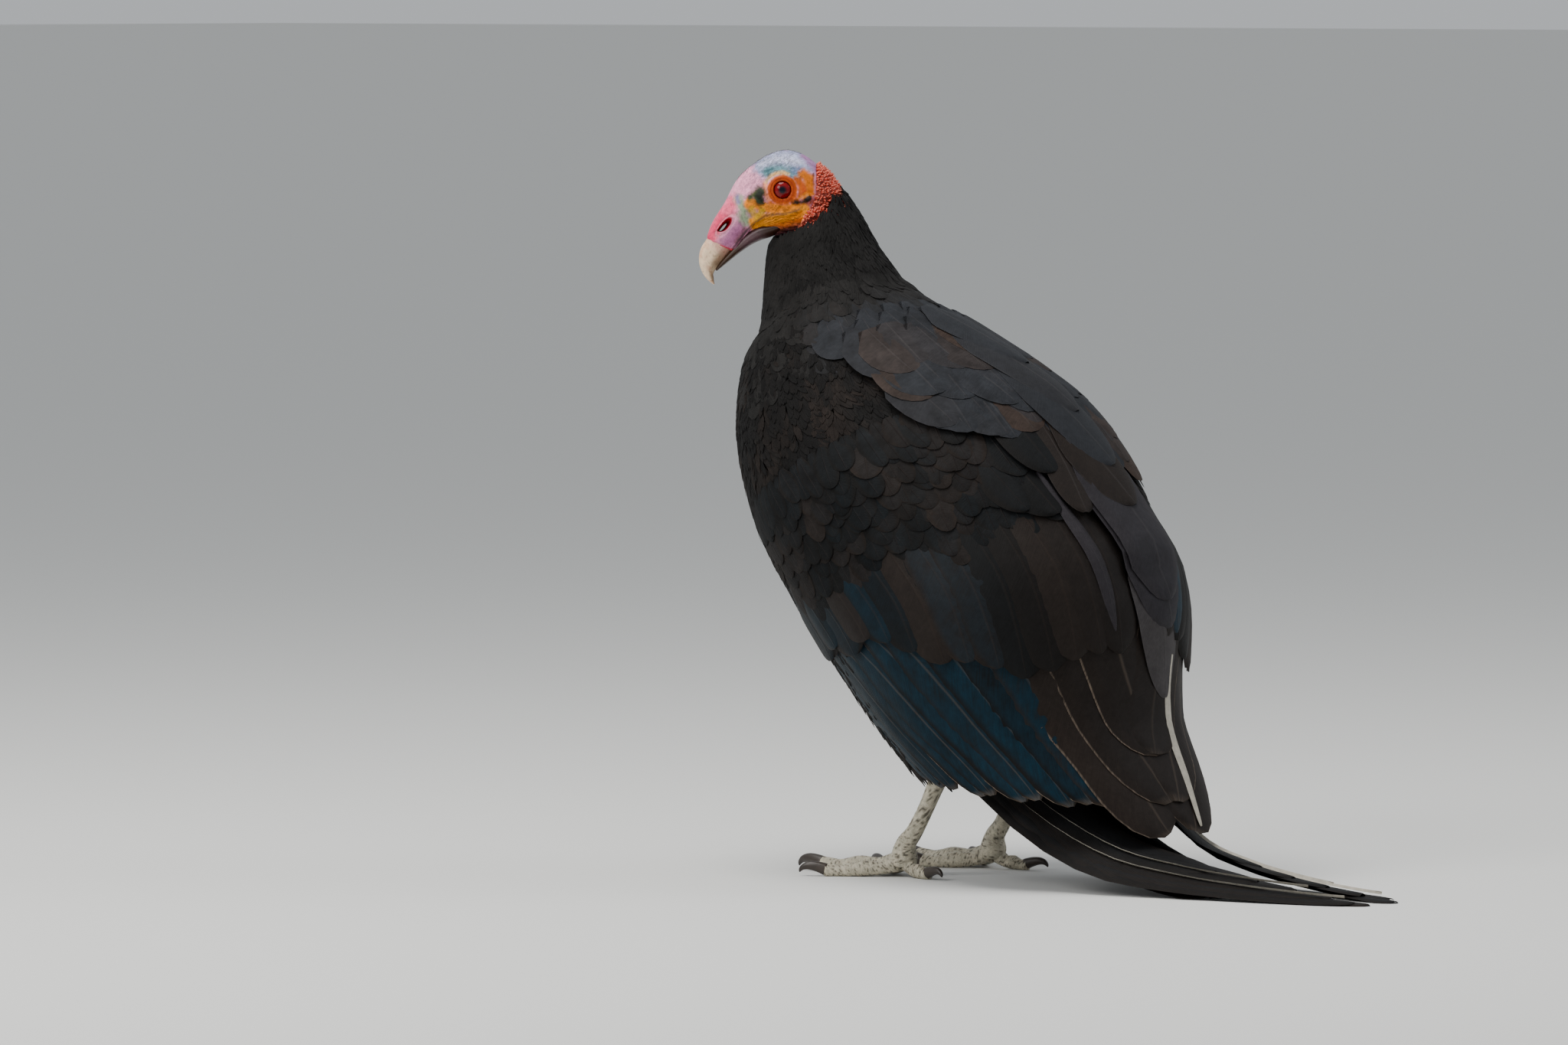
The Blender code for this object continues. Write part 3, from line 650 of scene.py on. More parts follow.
def grow(coat, sheet, vane, palette, roots, sizes, dice, side=1, turn=0.0, tip=0.45, lift=1.0, low=0.0,
         roll=0.0001, droop=0.0002, within=None, unrest=0.08, thick=0.0002, ruffle=0.0, fade=None):
    """Lays one feather on each root outside the bare head. sizes is a table of station, length and width.
    within picks feathers by their tips' places, fade gives how far each has its palette's own colours."""
    s, a = roots
    kept = ~on_bare_head(sheet.at(s, a))
    s, a = s[kept], a[kept]
    length, width = at_stations(sizes, s)
    many = len(s)
    length = length * (1 + dice.normal(0, 0.09, many))
    width = width * (1 + dice.normal(0, 0.07, many))
    turns = turn + ruffle * flow(sheet.at(s, a), 0.016, 2, 6.0)
    line_s, line_a = trace(sheet, s, a, turns + dice.normal(0, unrest, many), length, vane.along)
    if within is not None:
        kept = within(line_s[:, -1], line_a[:, -1])
        s, a, width, line_s, line_a = (v[kept] for v in (s, a, width, line_s, line_a))
        many = len(s)
    tips = tip * (1 + dice.normal(0, 0.1, many))[:, None]
    half = outline(vane.along[None, :], width, np.clip(tips, 0.1, 0.95))
    high = looks().feather_lift * lift * (1 + dice.normal(0, 0.18, many))
    base = low(s)[:, None] if callable(low) else low
    height = base + high[:, None] * vane.along[None, :] ** 0.8
    corners = lay(sheet, vane, line_s, line_a, half, height, thick, droop, roll)
    tint, edge = paints(palette, sheet.at(s, a) * (side, 1, 1), dice)
    if fade is not None:
        tint[:, :3] = mixed(colour("coal"), fade(s, a), tint[:, :3])
    coat.add(corners, vane, sheet.unwrapped(s, a), tint, edge, side)


def blades(coat, sheet, vane, palette, rows, dice, side=1, tip=0.3, bend=0.0, thick=0.0005, roll=0.0008,
           droop=0.0012):
    """Lays long feathers one by one: root and tip as station and angle, width, and height at each end."""
    s0, a0, s1, a1, width, low, high = np.array(rows, float).T
    t = vane.along[None, :]
    line_s = s0[:, None] + (s1 - s0)[:, None] * t
    line_a = a0[:, None] + (a1 - a0)[:, None] * t + bend * np.sin(pi * t)
    half = outline(t, width, tip, 0.4)
    height = low[:, None] + (high - low)[:, None] * t
    corners = lay(sheet, vane, line_s, line_a, half, height, thick, droop, roll)
    glossy = teal_share(line_s, np.degrees(line_a)) if palette == "greater" else 1.0
    tint, edge = paints(palette, sheet.at(line_s[:, 0], line_a[:, 0]) * (side, 1, 1), dice, glossy)
    coat.add(corners, vane, sheet.unwrapped(s0, a0), tint, edge, side)


LONG_VANE = Vane(16, 6, 1.35)

# Where each kind of feather grows: edges are station, lowest and highest angle; sizes are station, length and
# width

NECK_SIZES = ((0, 0.0064, 0.0020), (2, 0.0074, 0.0023), (4, 0.0105, 0.0034), (5, 0.0140, 0.0046),
              (7, 0.0170, 0.0060))
RUFF_SIZES = ((4, 0.0130, 0.0050), (5.5, 0.0220, 0.0110), (6.5, 0.0300, 0.0180), (9, 0.0300, 0.0190))
MANTLE_SIZES = ((4.9, 0.0220, 0.0120), (5.8, 0.0320, 0.0200), (7, 0.0430, 0.0290), (8.2, 0.0560, 0.0350))
# Lower edge of the mantle: station and angle
MANTLE_EDGE = ((4.8, 96), (5.4, 86), (6.0, 74), (6.8, 62), (8.2, 50), (9.2, 44), (9.75, 31), (10.0, 16),
               (10.6, 3), (11.4, -6))
LESSER_SIZES = ((5.5, 0.0120, 0.0038), (8, 0.0150, 0.0050), (10, 0.0180, 0.0064), (14, 0.0160, 0.0070))
MEDIAN_SIZES = ((8.6, 0.0270, 0.0160), (12, 0.0340, 0.0210))
BELLY_SIZES = ((4, 0.0120, 0.0046), (7, 0.0190, 0.0078), (11, 0.0230, 0.0100), (16, 0.0250, 0.0110))
SECTOR = 36  # degrees of a stretch of roots that share their spacing
# Middles of the places of painted teal sheen on the greater coverts: station, angle, reach
TEAL_PLACES = ((11.6, 108, 4), (12.0, 88, 3.5), (12.6, 60, 3.5), (12.3, 118, 3.5))


def teal_share(s, a):
    """How strong each blade's painted teal sheen is, from the places that its middle line passes."""
    found = np.zeros(len(s))
    for station, angle, reach in TEAL_PLACES:
        found = np.maximum(found, bump_at(np.hypot((s - station) * 9, a - angle), reach * 1.4).max(1))
    return 0.05 + 0.95 * found


def spread(sheet, first, last, edges, sizes, dice, gap=0.42, pitch=0.55):
    """Roots over a stretch of the sheet, by sectors, as rows lie further apart on the outside of a bend."""
    station, low, high = np.array(edges, float).T
    wide = high - low
    sectors = max(1, round(float(wide.max()) / SECTOR))
    found = []
    for k in range(sectors):
        part = np.column_stack((station, low + wide * k / sectors, low + wide * (k + 1) / sectors))
        found.append(rows_of_roots(sheet, first, last, part, sizes, gap, pitch, dice))
    return tuple(np.concatenate(both) for both in zip(*found))


def coat_and_dice(seed):
    """An empty coat and the random draws of one group of feathers."""
    return Coat(), np.random.default_rng(looks().dice_seed + seed)


def short_neck_feathers(outer, throat, material):
    coat, dice = coat_and_dice(0)
    sectors = ((outer, 5.3, -118, 118), (throat, 6.8, 84, 200), (throat, 6.8, -200, -84))
    for sheet, last, low, high in sectors:
        roots = spread(sheet, 0.0, last, ((0, low, high), (5, low, high)), NECK_SIZES, dice, 0.34, 0.56)
        grow(coat, sheet, Vane(3, 2), "neck", roots, NECK_SIZES, dice, tip=0.8, lift=0.34, unrest=0.14,
             ruffle=0.35, thick=0.00012, droop=0.0001)
    return coat.finish("neck_feathers", material)


def ruff_feathers(outer, material):
    coat, dice = coat_and_dice(1)
    edges = ((4.2, -180, 180), (5.2, -150, 150), (7, -100, 100))
    roots = spread(outer, 4.2, 6.9, edges, RUFF_SIZES, dice, 0.36, 0.5)
    grow(coat, outer, Vane(6, 2), "ruff", roots, RUFF_SIZES, dice, tip=0.65, lift=0.6, unrest=0.10,
         ruffle=0.25, thick=0.00015, fade=lambda s, a: ramp(s, 4.6, 6.6) * ramp(-np.abs(a), -1.2, -0.85))
    return coat.finish("ruff_feathers", material)


def breast_feathers(trunk, material):
    coat, dice = coat_and_dice(2)
    for low, high in ((88, 200), (-200, -88)):
        roots = spread(trunk, 5.0, 16.4, ((4.6, low, high), (17, low, high)), BELLY_SIZES, dice, 0.40, 0.62)
        grow(coat, trunk, Vane(4, 2), "belly", roots, BELLY_SIZES, dice, tip=0.7, unrest=0.14, ruffle=0.4)
    roots = spread(trunk, 12.4, 16.6, ((12, -90, 90), (17, -90, 90)), BELLY_SIZES, dice)
    grow(coat, trunk, Vane(4, 2), "belly", roots, BELLY_SIZES, dice)
    return coat.finish("breast_feathers", material)


def above_edge(s, a):
    angles, stations = [-row[1] for row in MANTLE_EDGE], [row[0] for row in MANTLE_EDGE]
    return s < np.interp(-np.degrees(a), angles, stations)


def mantle_fade(s, a):
    """The mantle's colours begin below the neck, and near the breast only further down."""
    inner = ramp(-np.abs(a), -radians(78), -radians(58))
    return ramp(s, 4.4, 6.4) * np.maximum(inner, ramp(s, 5.8, 6.6))


def mantle_feathers(outer, material, name, side):
    coat, dice = coat_and_dice(3 + side)
    reach = 0.0 if side > 0 else 0.9  # stations by which the far side's mantle goes lower
    edges = ((4.9, -4, 96), (5.6, -4, 92), (7, -4, 66), (9, -6, 50), (10.4, -6, 20))
    roots = spread(outer, 4.9, 10.2, edges, MANTLE_SIZES, dice, 0.24, 0.42)
    grow(coat, outer, Vane(8, 4), "mantle", roots, MANTLE_SIZES, dice, side, tip=0.42, lift=0.9,
         low=lambda s: -0.0002 + 0.0046 * ramp(s, 5.8, 7.4), within=lambda s, a: above_edge(s - reach, a),
         roll=0.0002, droop=0.0003, unrest=0.06, ruffle=0.12, fade=mantle_fade)
    return coat.finish(name, material)


def covert_feathers(outer, material, name, side):
    coat, dice = coat_and_dice(6 + side)
    edges = ((5.6, 70, 152), (7, 46, 154), (9, 22, 154), (11, 0, 154))
    roots = spread(outer, 5.6, 10.6, edges, LESSER_SIZES, dice, 0.33, 0.55)
    grow(coat, outer, Vane(3, 2), "covert", roots, LESSER_SIZES, dice, side, tip=0.7, unrest=0.16, lift=0.6,
         droop=0.0001, ruffle=0.6, thick=0.00012)
    edges = ((10.6, 112, 154), (13, 112, 150), (16, 96, 140))
    roots = spread(outer, 10.6, 16.0, edges, LESSER_SIZES, dice, 0.36, 0.60)
    grow(coat, outer, Vane(4, 2), "covert", roots, LESSER_SIZES, dice, side, tip=0.6, unrest=0.16, turn=-0.3)
    edges = ((8.8, 40, 122), (9.6, 24, 122), (11.5, 10, 122))
    roots = spread(outer, 8.8, 11.0, edges, MEDIAN_SIZES, dice, 0.26, 0.46)
    grow(coat, outer, Vane(8, 4), "median", roots, MEDIAN_SIZES, dice, side, tip=0.5, low=0.0014, lift=1.5,
         unrest=0.12, ruffle=0.2)
    return coat.finish(name, material)


# Tips of the greater coverts as station over angle, and the long feathers of the wing as station and angle of
# the root and the tip, width, and height at both ends
GREATER_TIPS = ((124, 12.3), (100, 12.6), (85, 12.75), (74, 13.3), (58, 13.65), (45, 13.9), (35, 13.9),
                (20, 13.5))
SECONDARIES = (
    (11.4, 146, 16.35, 108, 0.034, 0.0000, 0.0010),
    (11.4, 140, 16.42, 100, 0.034, 0.0004, 0.0014),
    (11.4, 132, 16.38, 92, 0.036, 0.0008, 0.0018),
    (11.6, 122, 16.42, 79, 0.036, 0.0010, 0.0020),
    (11.6, 115, 16.36, 74, 0.036, 0.0013, 0.0024),
    (11.6, 104, 16.42, 62, 0.036, 0.0015, 0.0027),
    (11.6, 96, 16.36, 56, 0.036, 0.0018, 0.0030),
    (11.6, 84, 16.44, 44, 0.036, 0.0020, 0.0033),
    (11.6, 74, 16.38, 36, 0.036, 0.0022, 0.0036),
    (11.6, 64, 16.42, 28, 0.038, 0.0024, 0.0039),
)
TERTIALS = (
    (11.6, 50, 17.0, 7, 0.058, 0.0014, 0.0060),
    (11.4, 38, 16.4, 2, 0.052, 0.0019, 0.0067),
    (11.2, 27, 15.6, -2, 0.048, 0.0024, 0.0074),
)
# Single feathers of the lower back: palette, row of the blade, tip
BACK_BLADES = (
    ("grey", (11.2, -2, 14.5, -13, 0.042, 0.0060, 0.0084), 0.75),
    ("ivory", (13.7, -17, 16.9, -11, 0.010, 0.0076, 0.0088), 0.8),
    ("teal", (9.6, -8, 13.3, -19, 0.032, 0.0056, 0.0078), 0.35),
    ("violet", (9.5, 2, 13.2, -12.5, 0.050, 0.0064, 0.0084), 0.32),
    ("violet", (9.2, 3, 12.75, -11, 0.047, 0.0070, 0.0096), 0.34),
    ("median", (9.6, 36, 10.9, 30, 0.026, 0.0020, 0.0056), 0.5),
    ("black", (9.8, 27, 11.1, 22, 0.034, 0.0020, 0.0062), 0.5),
    ("grey", (10.2, 21, 13.2, 13.5, 0.009, 0.0046, 0.0076), 0.4),
    ("worn", (9.2, 10, 11.2, 13.5, 0.026, 0.0044, 0.0084), 0.45),
    ("black", (8.8, 20, 10.3, 17, 0.034, 0.0030, 0.0072), 0.5),
    ("worn", (9.2, 4, 11.15, -7, 0.040, 0.0062, 0.0098), 0.5),
    ("mantle", (8.3, 4, 10.3, -7, 0.040, 0.0058, 0.0092), 0.5),
    ("worn", (7.6, 4, 9.4, -7, 0.038, 0.0054, 0.0086), 0.5),
    ("mantle", (6.9, 3, 8.6, -7, 0.036, 0.0050, 0.0080), 0.5),
)


def wing_feathers(outer, material, name, side):
    coat, dice = coat_and_dice(9 + side)
    blades(coat, outer, LONG_VANE, "flight", in_radians(SECONDARIES), dice, side, tip=0.16, bend=-0.02)
    over = 0.0 if side > 0 else 0.0010  # the right wing's inner feathers lie over the left wing's
    rows = [(*row[:5], row[5] + over, row[6] + over) for row in TERTIALS]
    blades(coat, outer, LONG_VANE, "brown", in_radians(rows), dice, side, tip=0.2)
    rows, angles, tips = [], [-row[0] for row in GREATER_TIPS], [row[1] for row in GREATER_TIPS]
    for a in np.arange(123, 8, -8.6):
        tip = float(np.interp(-a, angles, tips))
        low, high = 0.0012, 0.0012 + 0.0020 * (tip - 10.2)
        rows.append((10.2, a + 4, tip + dice.normal(0, 0.12), a, 0.034, low, high))
    blades(coat, outer, Vane(12, 6, 1.35), "greater", in_radians(rows), dice, side, tip=0.36)
    return coat.finish(name, material)


def back_feathers(outer, material):
    """The long inner feathers that lie over the lower back, the right wing's over the left wing's."""
    coat, dice = coat_and_dice(20)
    for palette, row, tip in BACK_BLADES:
        blades(coat, outer, LONG_VANE, palette, in_radians([row]), dice, tip=tip, roll=0.0004)
    return coat.finish("back_feathers", material)


def in_radians(rows):
    """Rows for blades with the angles of their roots and tips changed from degrees."""
    table = np.array(rows, float)
    table[:, [1, 3]] = np.radians(table[:, [1, 3]])
    return table


# Folded hand of the left wing: x, y, z of the middle, tilt, droop
HAND = (
    (0.0620, -0.0133, 0.0760, 64, 0.002),
    (0.0530, 0.0297, 0.0420, 48, 0.002),
    (0.0430, 0.0727, 0.0195, 25, 0.002),
    (0.0335, 0.1147, 0.0108, 16, 0.001),
    (0.0252, 0.1537, 0.0064, 11, 0.001),
    (0.0182, 0.1887, 0.0038, 8, 0.0),
    (0.0130, 0.2167, 0.0024, 4, 0.0),
    (0.0110, 0.2307, 0.0018, 2, 0.0),
)
# Its long feathers: station and metres aside of the root and of the tip, width, and height at both ends
PRIMARIES = (
    (0.0, 0.004, 6.95, 0.000, 0.020, -0.0012, -0.0006),
    (0.0, 0.010, 6.35, 0.004, 0.022, -0.0006, 0.0002),
    (0.0, 0.006, 5.60, -0.002, 0.024, 0.0000, 0.0010),
    (0.0, 0.000, 4.80, -0.006, 0.026, 0.0006, 0.0016),
    (0.0, -0.004, 4.10, -0.010, 0.026, 0.0012, 0.0022),
    (0.0, -0.008, 3.40, -0.012, 0.026, 0.0018, 0.0028),
)
# Ivory shafts on the long hand feathers
SHAFTS = (
    (0.6, 0.001, 6.0, 0.003, 0.0018, 0.0022, 0.0026),
    (0.6, -0.006, 5.0, -0.008, 0.0018, 0.0034, 0.0036),
)
# Tail: x, y, z of the middle, tilt, droop at the width of a ribbon
TAIL = (
    (0.0, 0.0027, 0.0740, 0, 0.016),
    (0.0, 0.0197, 0.0520, 0, 0.020),
    (0.0, 0.0397, 0.0340, 0, 0.018),
    (0.0, 0.0647, 0.0190, 0, 0.011),
    (0.0, 0.0947, 0.0085, 0, 0.006),
    (0.0, 0.1247, 0.0036, 0, 0.003),
    (0.0, 0.1407, 0.0022, 0, 0.001),
)


def hand_feathers(material, name, side):
    coat, dice = coat_and_dice(12 + side)
    sheet = ribbon(HAND)
    blades(coat, sheet, Vane(18, 6, 1.3), "hand", PRIMARIES, dice, side, thick=0.0006, roll=0.0004)
    blades(coat, sheet, Vane(18, 2, 1.0), "ivory", SHAFTS, dice, side, tip=0.9, thick=0.0008, droop=0.0)
    return coat.finish(name, material)


def tail_feathers(material):
    coat, dice = coat_and_dice(15)
    rows = []
    for k in range(6):
        for side in (1, -1):
            spot = (k + 0.5) / 6
            rows.append((0.0, side * 0.012 * spot, 6.0 - 0.35 * spot**2, side * 0.040 * spot, 0.026,
                         0.0012 - 0.0010 * spot, 0.0014 - 0.0016 * spot))
    blades(coat, ribbon(TAIL), LONG_VANE, "tail", rows[::-1], dice, tip=0.12, roll=0.0002)
    return coat.finish("tail_feathers", material)


# Head. Places on it are forward, up and aside in millimetres from the middle between the eyes

HEAD_PITCH = radians(37)
# Forward, top, bottom, half width
HEAD = (
    (-26.0, -7.5, -16.5, 4.5),
    (-24.3, -0.4, -20.5, 9.0),
    (-21.0, 9.2, -23.6, 12.6),
    (-15.5, 16.0, -26.0, 15.0),
    (-9.5, 19.2, -27.2, 15.9),
    (-4.0, 20.6, -27.8, 15.9),
    (1.0, 21.1, -27.4, 15.7),
    (6.0, 21.3, -26.2, 15.2),
    (11.0, 21.0, -24.2, 14.2),
    (15.5, 20.3, -21.8, 12.8),
    (19.5, 19.0, -18.0, 11.2),
    (23.5, 17.2, -12.8, 9.9),
    (28.0, 14.9, -9.6, 8.9),
    (33.0, 12.6, -8.6, 8.2),
    (38.5, 10.0, -9.2, 7.6),
    (44.0, 6.9, -10.2, 7.0),
    (48.5, 4.3, -10.6, 6.5),
    (51.5, 2.5, -10.4, 6.0),
)
CERE_BACK = 2.9
CERE_SLOPE = 0.62  # how far the cere's edge runs forward for each millimetre of height
# Upper bill: top and bottom as forward and up, then half width
UPPER_BILL = (
    (43.0, 5.4, 40.0, -8.2, 5.0),
    (48.0, 4.2, 43.5, -10.0, 5.6),
    (52.5, 2.9, 48.0, -11.2, 5.8),
    (56.8, 1.2, 52.0, -12.2, 5.4),
    (60.4, -1.7, 55.6, -13.0, 4.8),
    (63.0, -5.4, 58.4, -13.8, 4.0),
    (64.4, -9.5, 60.2, -14.9, 3.1),
    (64.8, -13.5, 61.2, -16.6, 2.2),
    (64.4, -16.9, 62.3, -18.4, 1.3),
    (63.6, -19.5, 63.0, -19.9, 0.4),
)
LOWER_BILL = (
    (9.0, -12.5, 8.0, -21.0, 8.6),
    (17.0, -10.5, 16.0, -19.0, 9.0),
    (23.0, -7.4, 22.0, -17.4, 8.3),
    (28.0, -6.8, 27.5, -15.6, 7.1),
    (33.0, -7.2, 33.0, -14.5, 6.0),
    (38.0, -8.2, 38.0, -14.2, 5.1),
    (43.0, -9.3, 43.0, -14.1, 4.4),
    (48.0, -10.4, 48.5, -14.3, 3.8),
    (53.0, -11.6, 53.5, -14.5, 3.0),
    (57.5, -13.0, 58.0, -14.6, 1.6),
)
CERE_FRONT = HEAD[-1][0] - CERE_BACK
MOUTH_LINE = ((46, -11.0), (41, -9.4), (36, -7.9), (30, -6.4), (24, -5.4), (17.5, -6.6), (13, -8.8),
              (8.5, -11.8), (3, -14.2), (-1, -15.6))
NOSTRIL = (38.2, 3.3)
NOSTRIL_REACH, NOSTRIL_RISE, NOSTRIL_TURN = 6.0, 2.3, radians(-13)
EAR = (-7.9, -13.4)
EYE_OPENING = 5.1  # radius of the ring between the lids
LID_WIDTH = 8.3
LID_REACH = 5.6  # where the first ring of the lids stands
CORAL_EDGE = ((-25, 2.0), (-23.2, -1.0), (-18.5, -7.0), (-14.4, -12.6), (-9.4, -16.8), (-4.0, -20.2),
              (0.6, -22.0), (3.4, -24.1), (12.0, -26))

# Painted on the head in this order: points as forward and up, half width, softness, display colour, strength
HEAD_PAINT = (
    (((23, 14.5), (14, 15), (5, 14)), 11, 4, (250, 176, 200), 1.0),
    (((28, 12), (24, 9)), 3, 3, (214, 150, 190), 0.8),
    (((1, 16.5), (-6, 14.5), (-12, 11), (-17, 6.5), (-19.5, 2)), 6.5, 3, (160, 164, 192), 1.0),
    (((1, 17.5), (-7, 14.5), (-13, 9.5), (-16.5, 4)), 1.8, 3, (204, 206, 224), 0.8),
    (((1.5, 12.6), (-5, 10), (-9, 5), (-10.6, 0.5)), 2.6, 2, (122, 156, 164), 1.0),
    (((-14.6, 2.4), (-11, 4)), 1.8, 1.6, (122, 140, 172), 0.8),
    (((1.5, 10.8), (-4.8, 8.8), (-8.0, 5.4)), 0.5, 0.9, (34, 58, 58), 0.9),
    (((3.5, 13.6), (-3, 12.2)), 0.4, 0.8, (60, 92, 98), 0.8),
    (((-20.0, 7), (-21.5, 0), (-21, -3)), 2.0, 2, (150, 116, 150), 1.0),
    (((-10.6, -2.6), (-10.8, -6), (-7.6, -11)), 2.8, 1.8, (190, 120, 78), 0.9),
    (((-14.0, -0.5), (-15.2, -5), (-13, -8.8), (-10.2, -11.8)), 2.7, 1.2, (206, 122, 14), 1.0),
    (((-9.8, -3.5), (-8.8, -8)), 1.6, 1.4, (196, 90, 50), 1.0),
    (((-18.4, -4.4), (-14.8, -9.6)), 0.4, 0.6, (66, 36, 26), 0.8),
    (((27, 11.0), (33.4, 9.6), (43.9, 6.4), (49.6, 3.2)), 4.2, 2.5, (255, 124, 146), 1.0),
    (((50, 3), (44, 5.6), (37, 8.4)), 2.4, 2, (222, 82, 110), 0.8),
    (((31, -2.6), (36.5, -3.4), (43, -5)), 3.6, 2.5, (184, 126, 160), 1.0),
    (((30, -5.6), (38, -8.0)), 1.4, 1.6, (112, 78, 82), 0.8),
    (((23.0, 10.5), (24.2, 4.8), (27.4, 0.7), (26.5, -3)), 2.6, 2.0, (160, 172, 148), 1.0),
    (((22.6, 12.4), (24.4, 9.4)), 1.0, 1.2, (132, 112, 168), 0.7),
    (((20.4, 6.4), (22.4, 1.0), (23.6, -3.4)), 0.9, 1.0, (92, 124, 106), 0.7),
    (((9.9, -1.0), (8.8, 4.8), (5.4, 8.5)), 1.5, 1.3, (222, 146, 122), 1.0),
    (((4.8, 9.2), (-1.0, 10.1), (-5.4, 8.2), (-8.0, 5.0)), 0.8, 0.8, (232, 202, 160), 0.9),
    (((-9.6, 0.4), (-9.9, -2.4), (-8.8, -5.4), (-5.6, -8.8)), 1.5, 1.3, (188, 100, 48), 1.0),
    (((-3, -9.8), (3, -9.8), (7.4, -6.8), (9.8, -2.4)), 1.6, 1.2, (208, 108, 32), 1.0),
    (((20, 5.0), (17, 1.8), (13.6, -3.6), (4, -10.9), (-2.8, -15.6)), 3.0, 1.0, (250, 150, 2), 1.0),
    (((22.8, -6.4), (15.6, -11.2), (8.2, -15.8), (-0.8, -18.6)), 4.6, 1.2, (246, 162, 0), 1.0),
    (((20.8, 1.4), (21.0, -3.6), (16.6, -3.2)), 1.9, 1.4, (206, 164, 88), 0.9),
    (((19, -14.2), (11.3, -19), (4, -22)), 2.6, 1.5, (198, 112, 8), 0.9),
    (((20.5, -17.4), (12.6, -22.6), (5.6, -25.4)), 2.7, 1.3, (58, 32, 24), 0.9),
    (((17.4, 6.7), (12.6, 6.6)), 2.0, 1.6, (76, 82, 56), 1.0),
    (((10.4, 6.8), (12.4, 4.8), (14.4, 2.2)), 2.7, 1.5, (50, 56, 36), 1.0),
    (((11.6, 5.6), (13.6, 2.6)), 1.4, 1.6, (22, 27, 16), 1.0),
    (((17.6, 8.0), (15.0, 2.4)), 0.6, 0.9, (58, 74, 58), 0.8),
    (((2.4, 9.8), (-2.8, 9.4), (-6.8, 6.4)), 0.6, 0.8, (232, 176, 124), 0.8),
    (((-0.8, -8.8), (-2.6, -11.4), (-5.8, -13.8)), 1.5, 1.1, (48, 34, 22), 1.0),
    (((-5.0, -9.6), (-8.9, -10.6), (-11.8, -13.4)), 0.9, 0.7, (236, 150, 30), 1.0),
    (((-6.0, -16.4), (-9.0, -16.2)), 0.9, 0.9, (170, 96, 44), 1.0),
)
LID_PAINT = ((8.6, (198, 106, 46)), (7.7, (182, 88, 28)), (6.9, (160, 66, 24)), (6.3, (190, 98, 40)),
             (5.7, (184, 84, 44)), (4.9, (104, 34, 20)))
# Display colours of the coral band: its flesh, the papillae's paler tips, and painted shade between the
# papillae
CORAL, CORAL_TIP, CORAL_SHADE = (204, 102, 90), (236, 162, 146), (136, 52, 44)
LIGHT = 0.86  # of every display colour
# Where the short feathers of the neck begin under the bare head: forward, up
FEATHER_EDGE = ((-30, -11), (-25.6, -14.5), (-19, -20.4), (-13.4, -22.8), (-7, -23.6), (-2, -23.2),
                (9.4, -20.4), (19, -18.2), (30, -17.5))


def display(shade, depth=1.3):
    """A display colour from 0 to 255 as linear light, a little deeper so that it holds in bright light."""
    linear = (np.array(shade, float) / 255) ** 2.2
    grey = linear @ (0.21, 0.72, 0.07)
    return np.clip(grey + (linear - grey) * depth, 0.002, 1) * LIGHT


def head_frame():
    """Middle between the eyes, and the head's forward, up and left."""
    left_eye, right_eye = (sum((Vector(c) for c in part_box(f"{side}_eye")), Vector()) / 2 for side, _ in SIDES)
    left = (left_eye - right_eye).normalized()
    level = Vector((left.y, -left.x, 0))
    forward = level * cos(HEAD_PITCH) - Vector((0, 0, 1)) * sin(HEAD_PITCH)
    return np.array((left_eye + right_eye) / 2), np.array((forward, forward.cross(left), left))


HEAD_MIDDLE, HEAD_AXES = head_frame()
EYE_RADIUS = (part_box("left_eye")[1].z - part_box("left_eye")[0].z) / 2
EYE_ASIDE = float(np.dot(sum(np.array(c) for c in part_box("left_eye")) / 2 - HEAD_MIDDLE, HEAD_AXES[2]))


def from_head(places):
    """Head places in millimetres as points of the scene."""
    return HEAD_MIDDLE + (np.asarray(places, float) * MM) @ HEAD_AXES


def to_head(points):
    return (np.asarray(points, float) - HEAD_MIDDLE) @ HEAD_AXES.T / MM


def away_from(line, f, u):
    """Distance of places from a broken line."""
    line = np.array(line, float)
    best = np.full(np.shape(f), 1e9)
    for a, b in zip(line, line[1:]):
        d = b - a
        t = np.clip(((f - a[0]) * d[0] + (u - a[1]) * d[1]) / (d @ d), 0, 1)
        best = np.minimum(best, np.hypot(f - a[0] - t * d[0], u - a[1] - t * d[1]))
    return best


def on_bare_head(points):
    """True where no feathers grow."""
    f, u, x = to_head(points).T
    edge = np.array(FEATHER_EDGE, float)
    return (u > np.interp(f, edge[:, 0], edge[:, 1])) & (f > -30) & (np.abs(x) < 30)


def bump_at(d, size):
    return np.exp(-(d / size) ** 2)


def small_ball(u_segments, v_segments):
    """A ball's faces as rows of corner numbers, with each corner's share and angle."""
    bm, share, angle = ball(u_segments, v_segments)
    faces = [[vert.index for vert in face.verts] for face in bm.faces]
    bm.free()
    return faces, share, angle


def blob(place, way, side, along, radius, angle):
    """Corners round a short line that starts at a place: how far along it they are, and how far out."""
    return (place + way * along[:, None] + side * (radius * np.cos(angle))[:, None]
            + np.cross(way, side) * (radius * np.sin(angle))[:, None])


def ball(u_segments, v_segments):
    """A ball's mesh in bmesh, with each corner's share from pole to pole and its angle round them."""
    bm = bmesh.new()
    bmesh.ops.create_uvsphere(bm, u_segments=u_segments, v_segments=v_segments, radius=1)
    places = np.array([v.co for v in bm.verts])
    return bm, np.arccos(np.clip(-places[:, 2], -1, 1)) / pi, np.arctan2(places[:, 0], places[:, 1])


def move_corners(bm, points):
    for vert, point in zip(bm.verts, points):
        vert.co = point
    bm.normal_update()
    return np.array([v.normal for v in bm.verts])


def shaped(bm, points):
    """Moves a closed form's corners to their places and turns its faces outwards."""
    move_corners(bm, points)
    bmesh.ops.recalc_face_normals(bm, faces=bm.faces)
    return bm


def powered(value, power):
    return np.sign(value) * np.abs(value) ** (2 / power)


def closing(share, part=0.012):
    """Draws a form together over its two ends."""
    return np.sqrt(np.clip(np.minimum(share, 1 - share) / part, 0, 1))


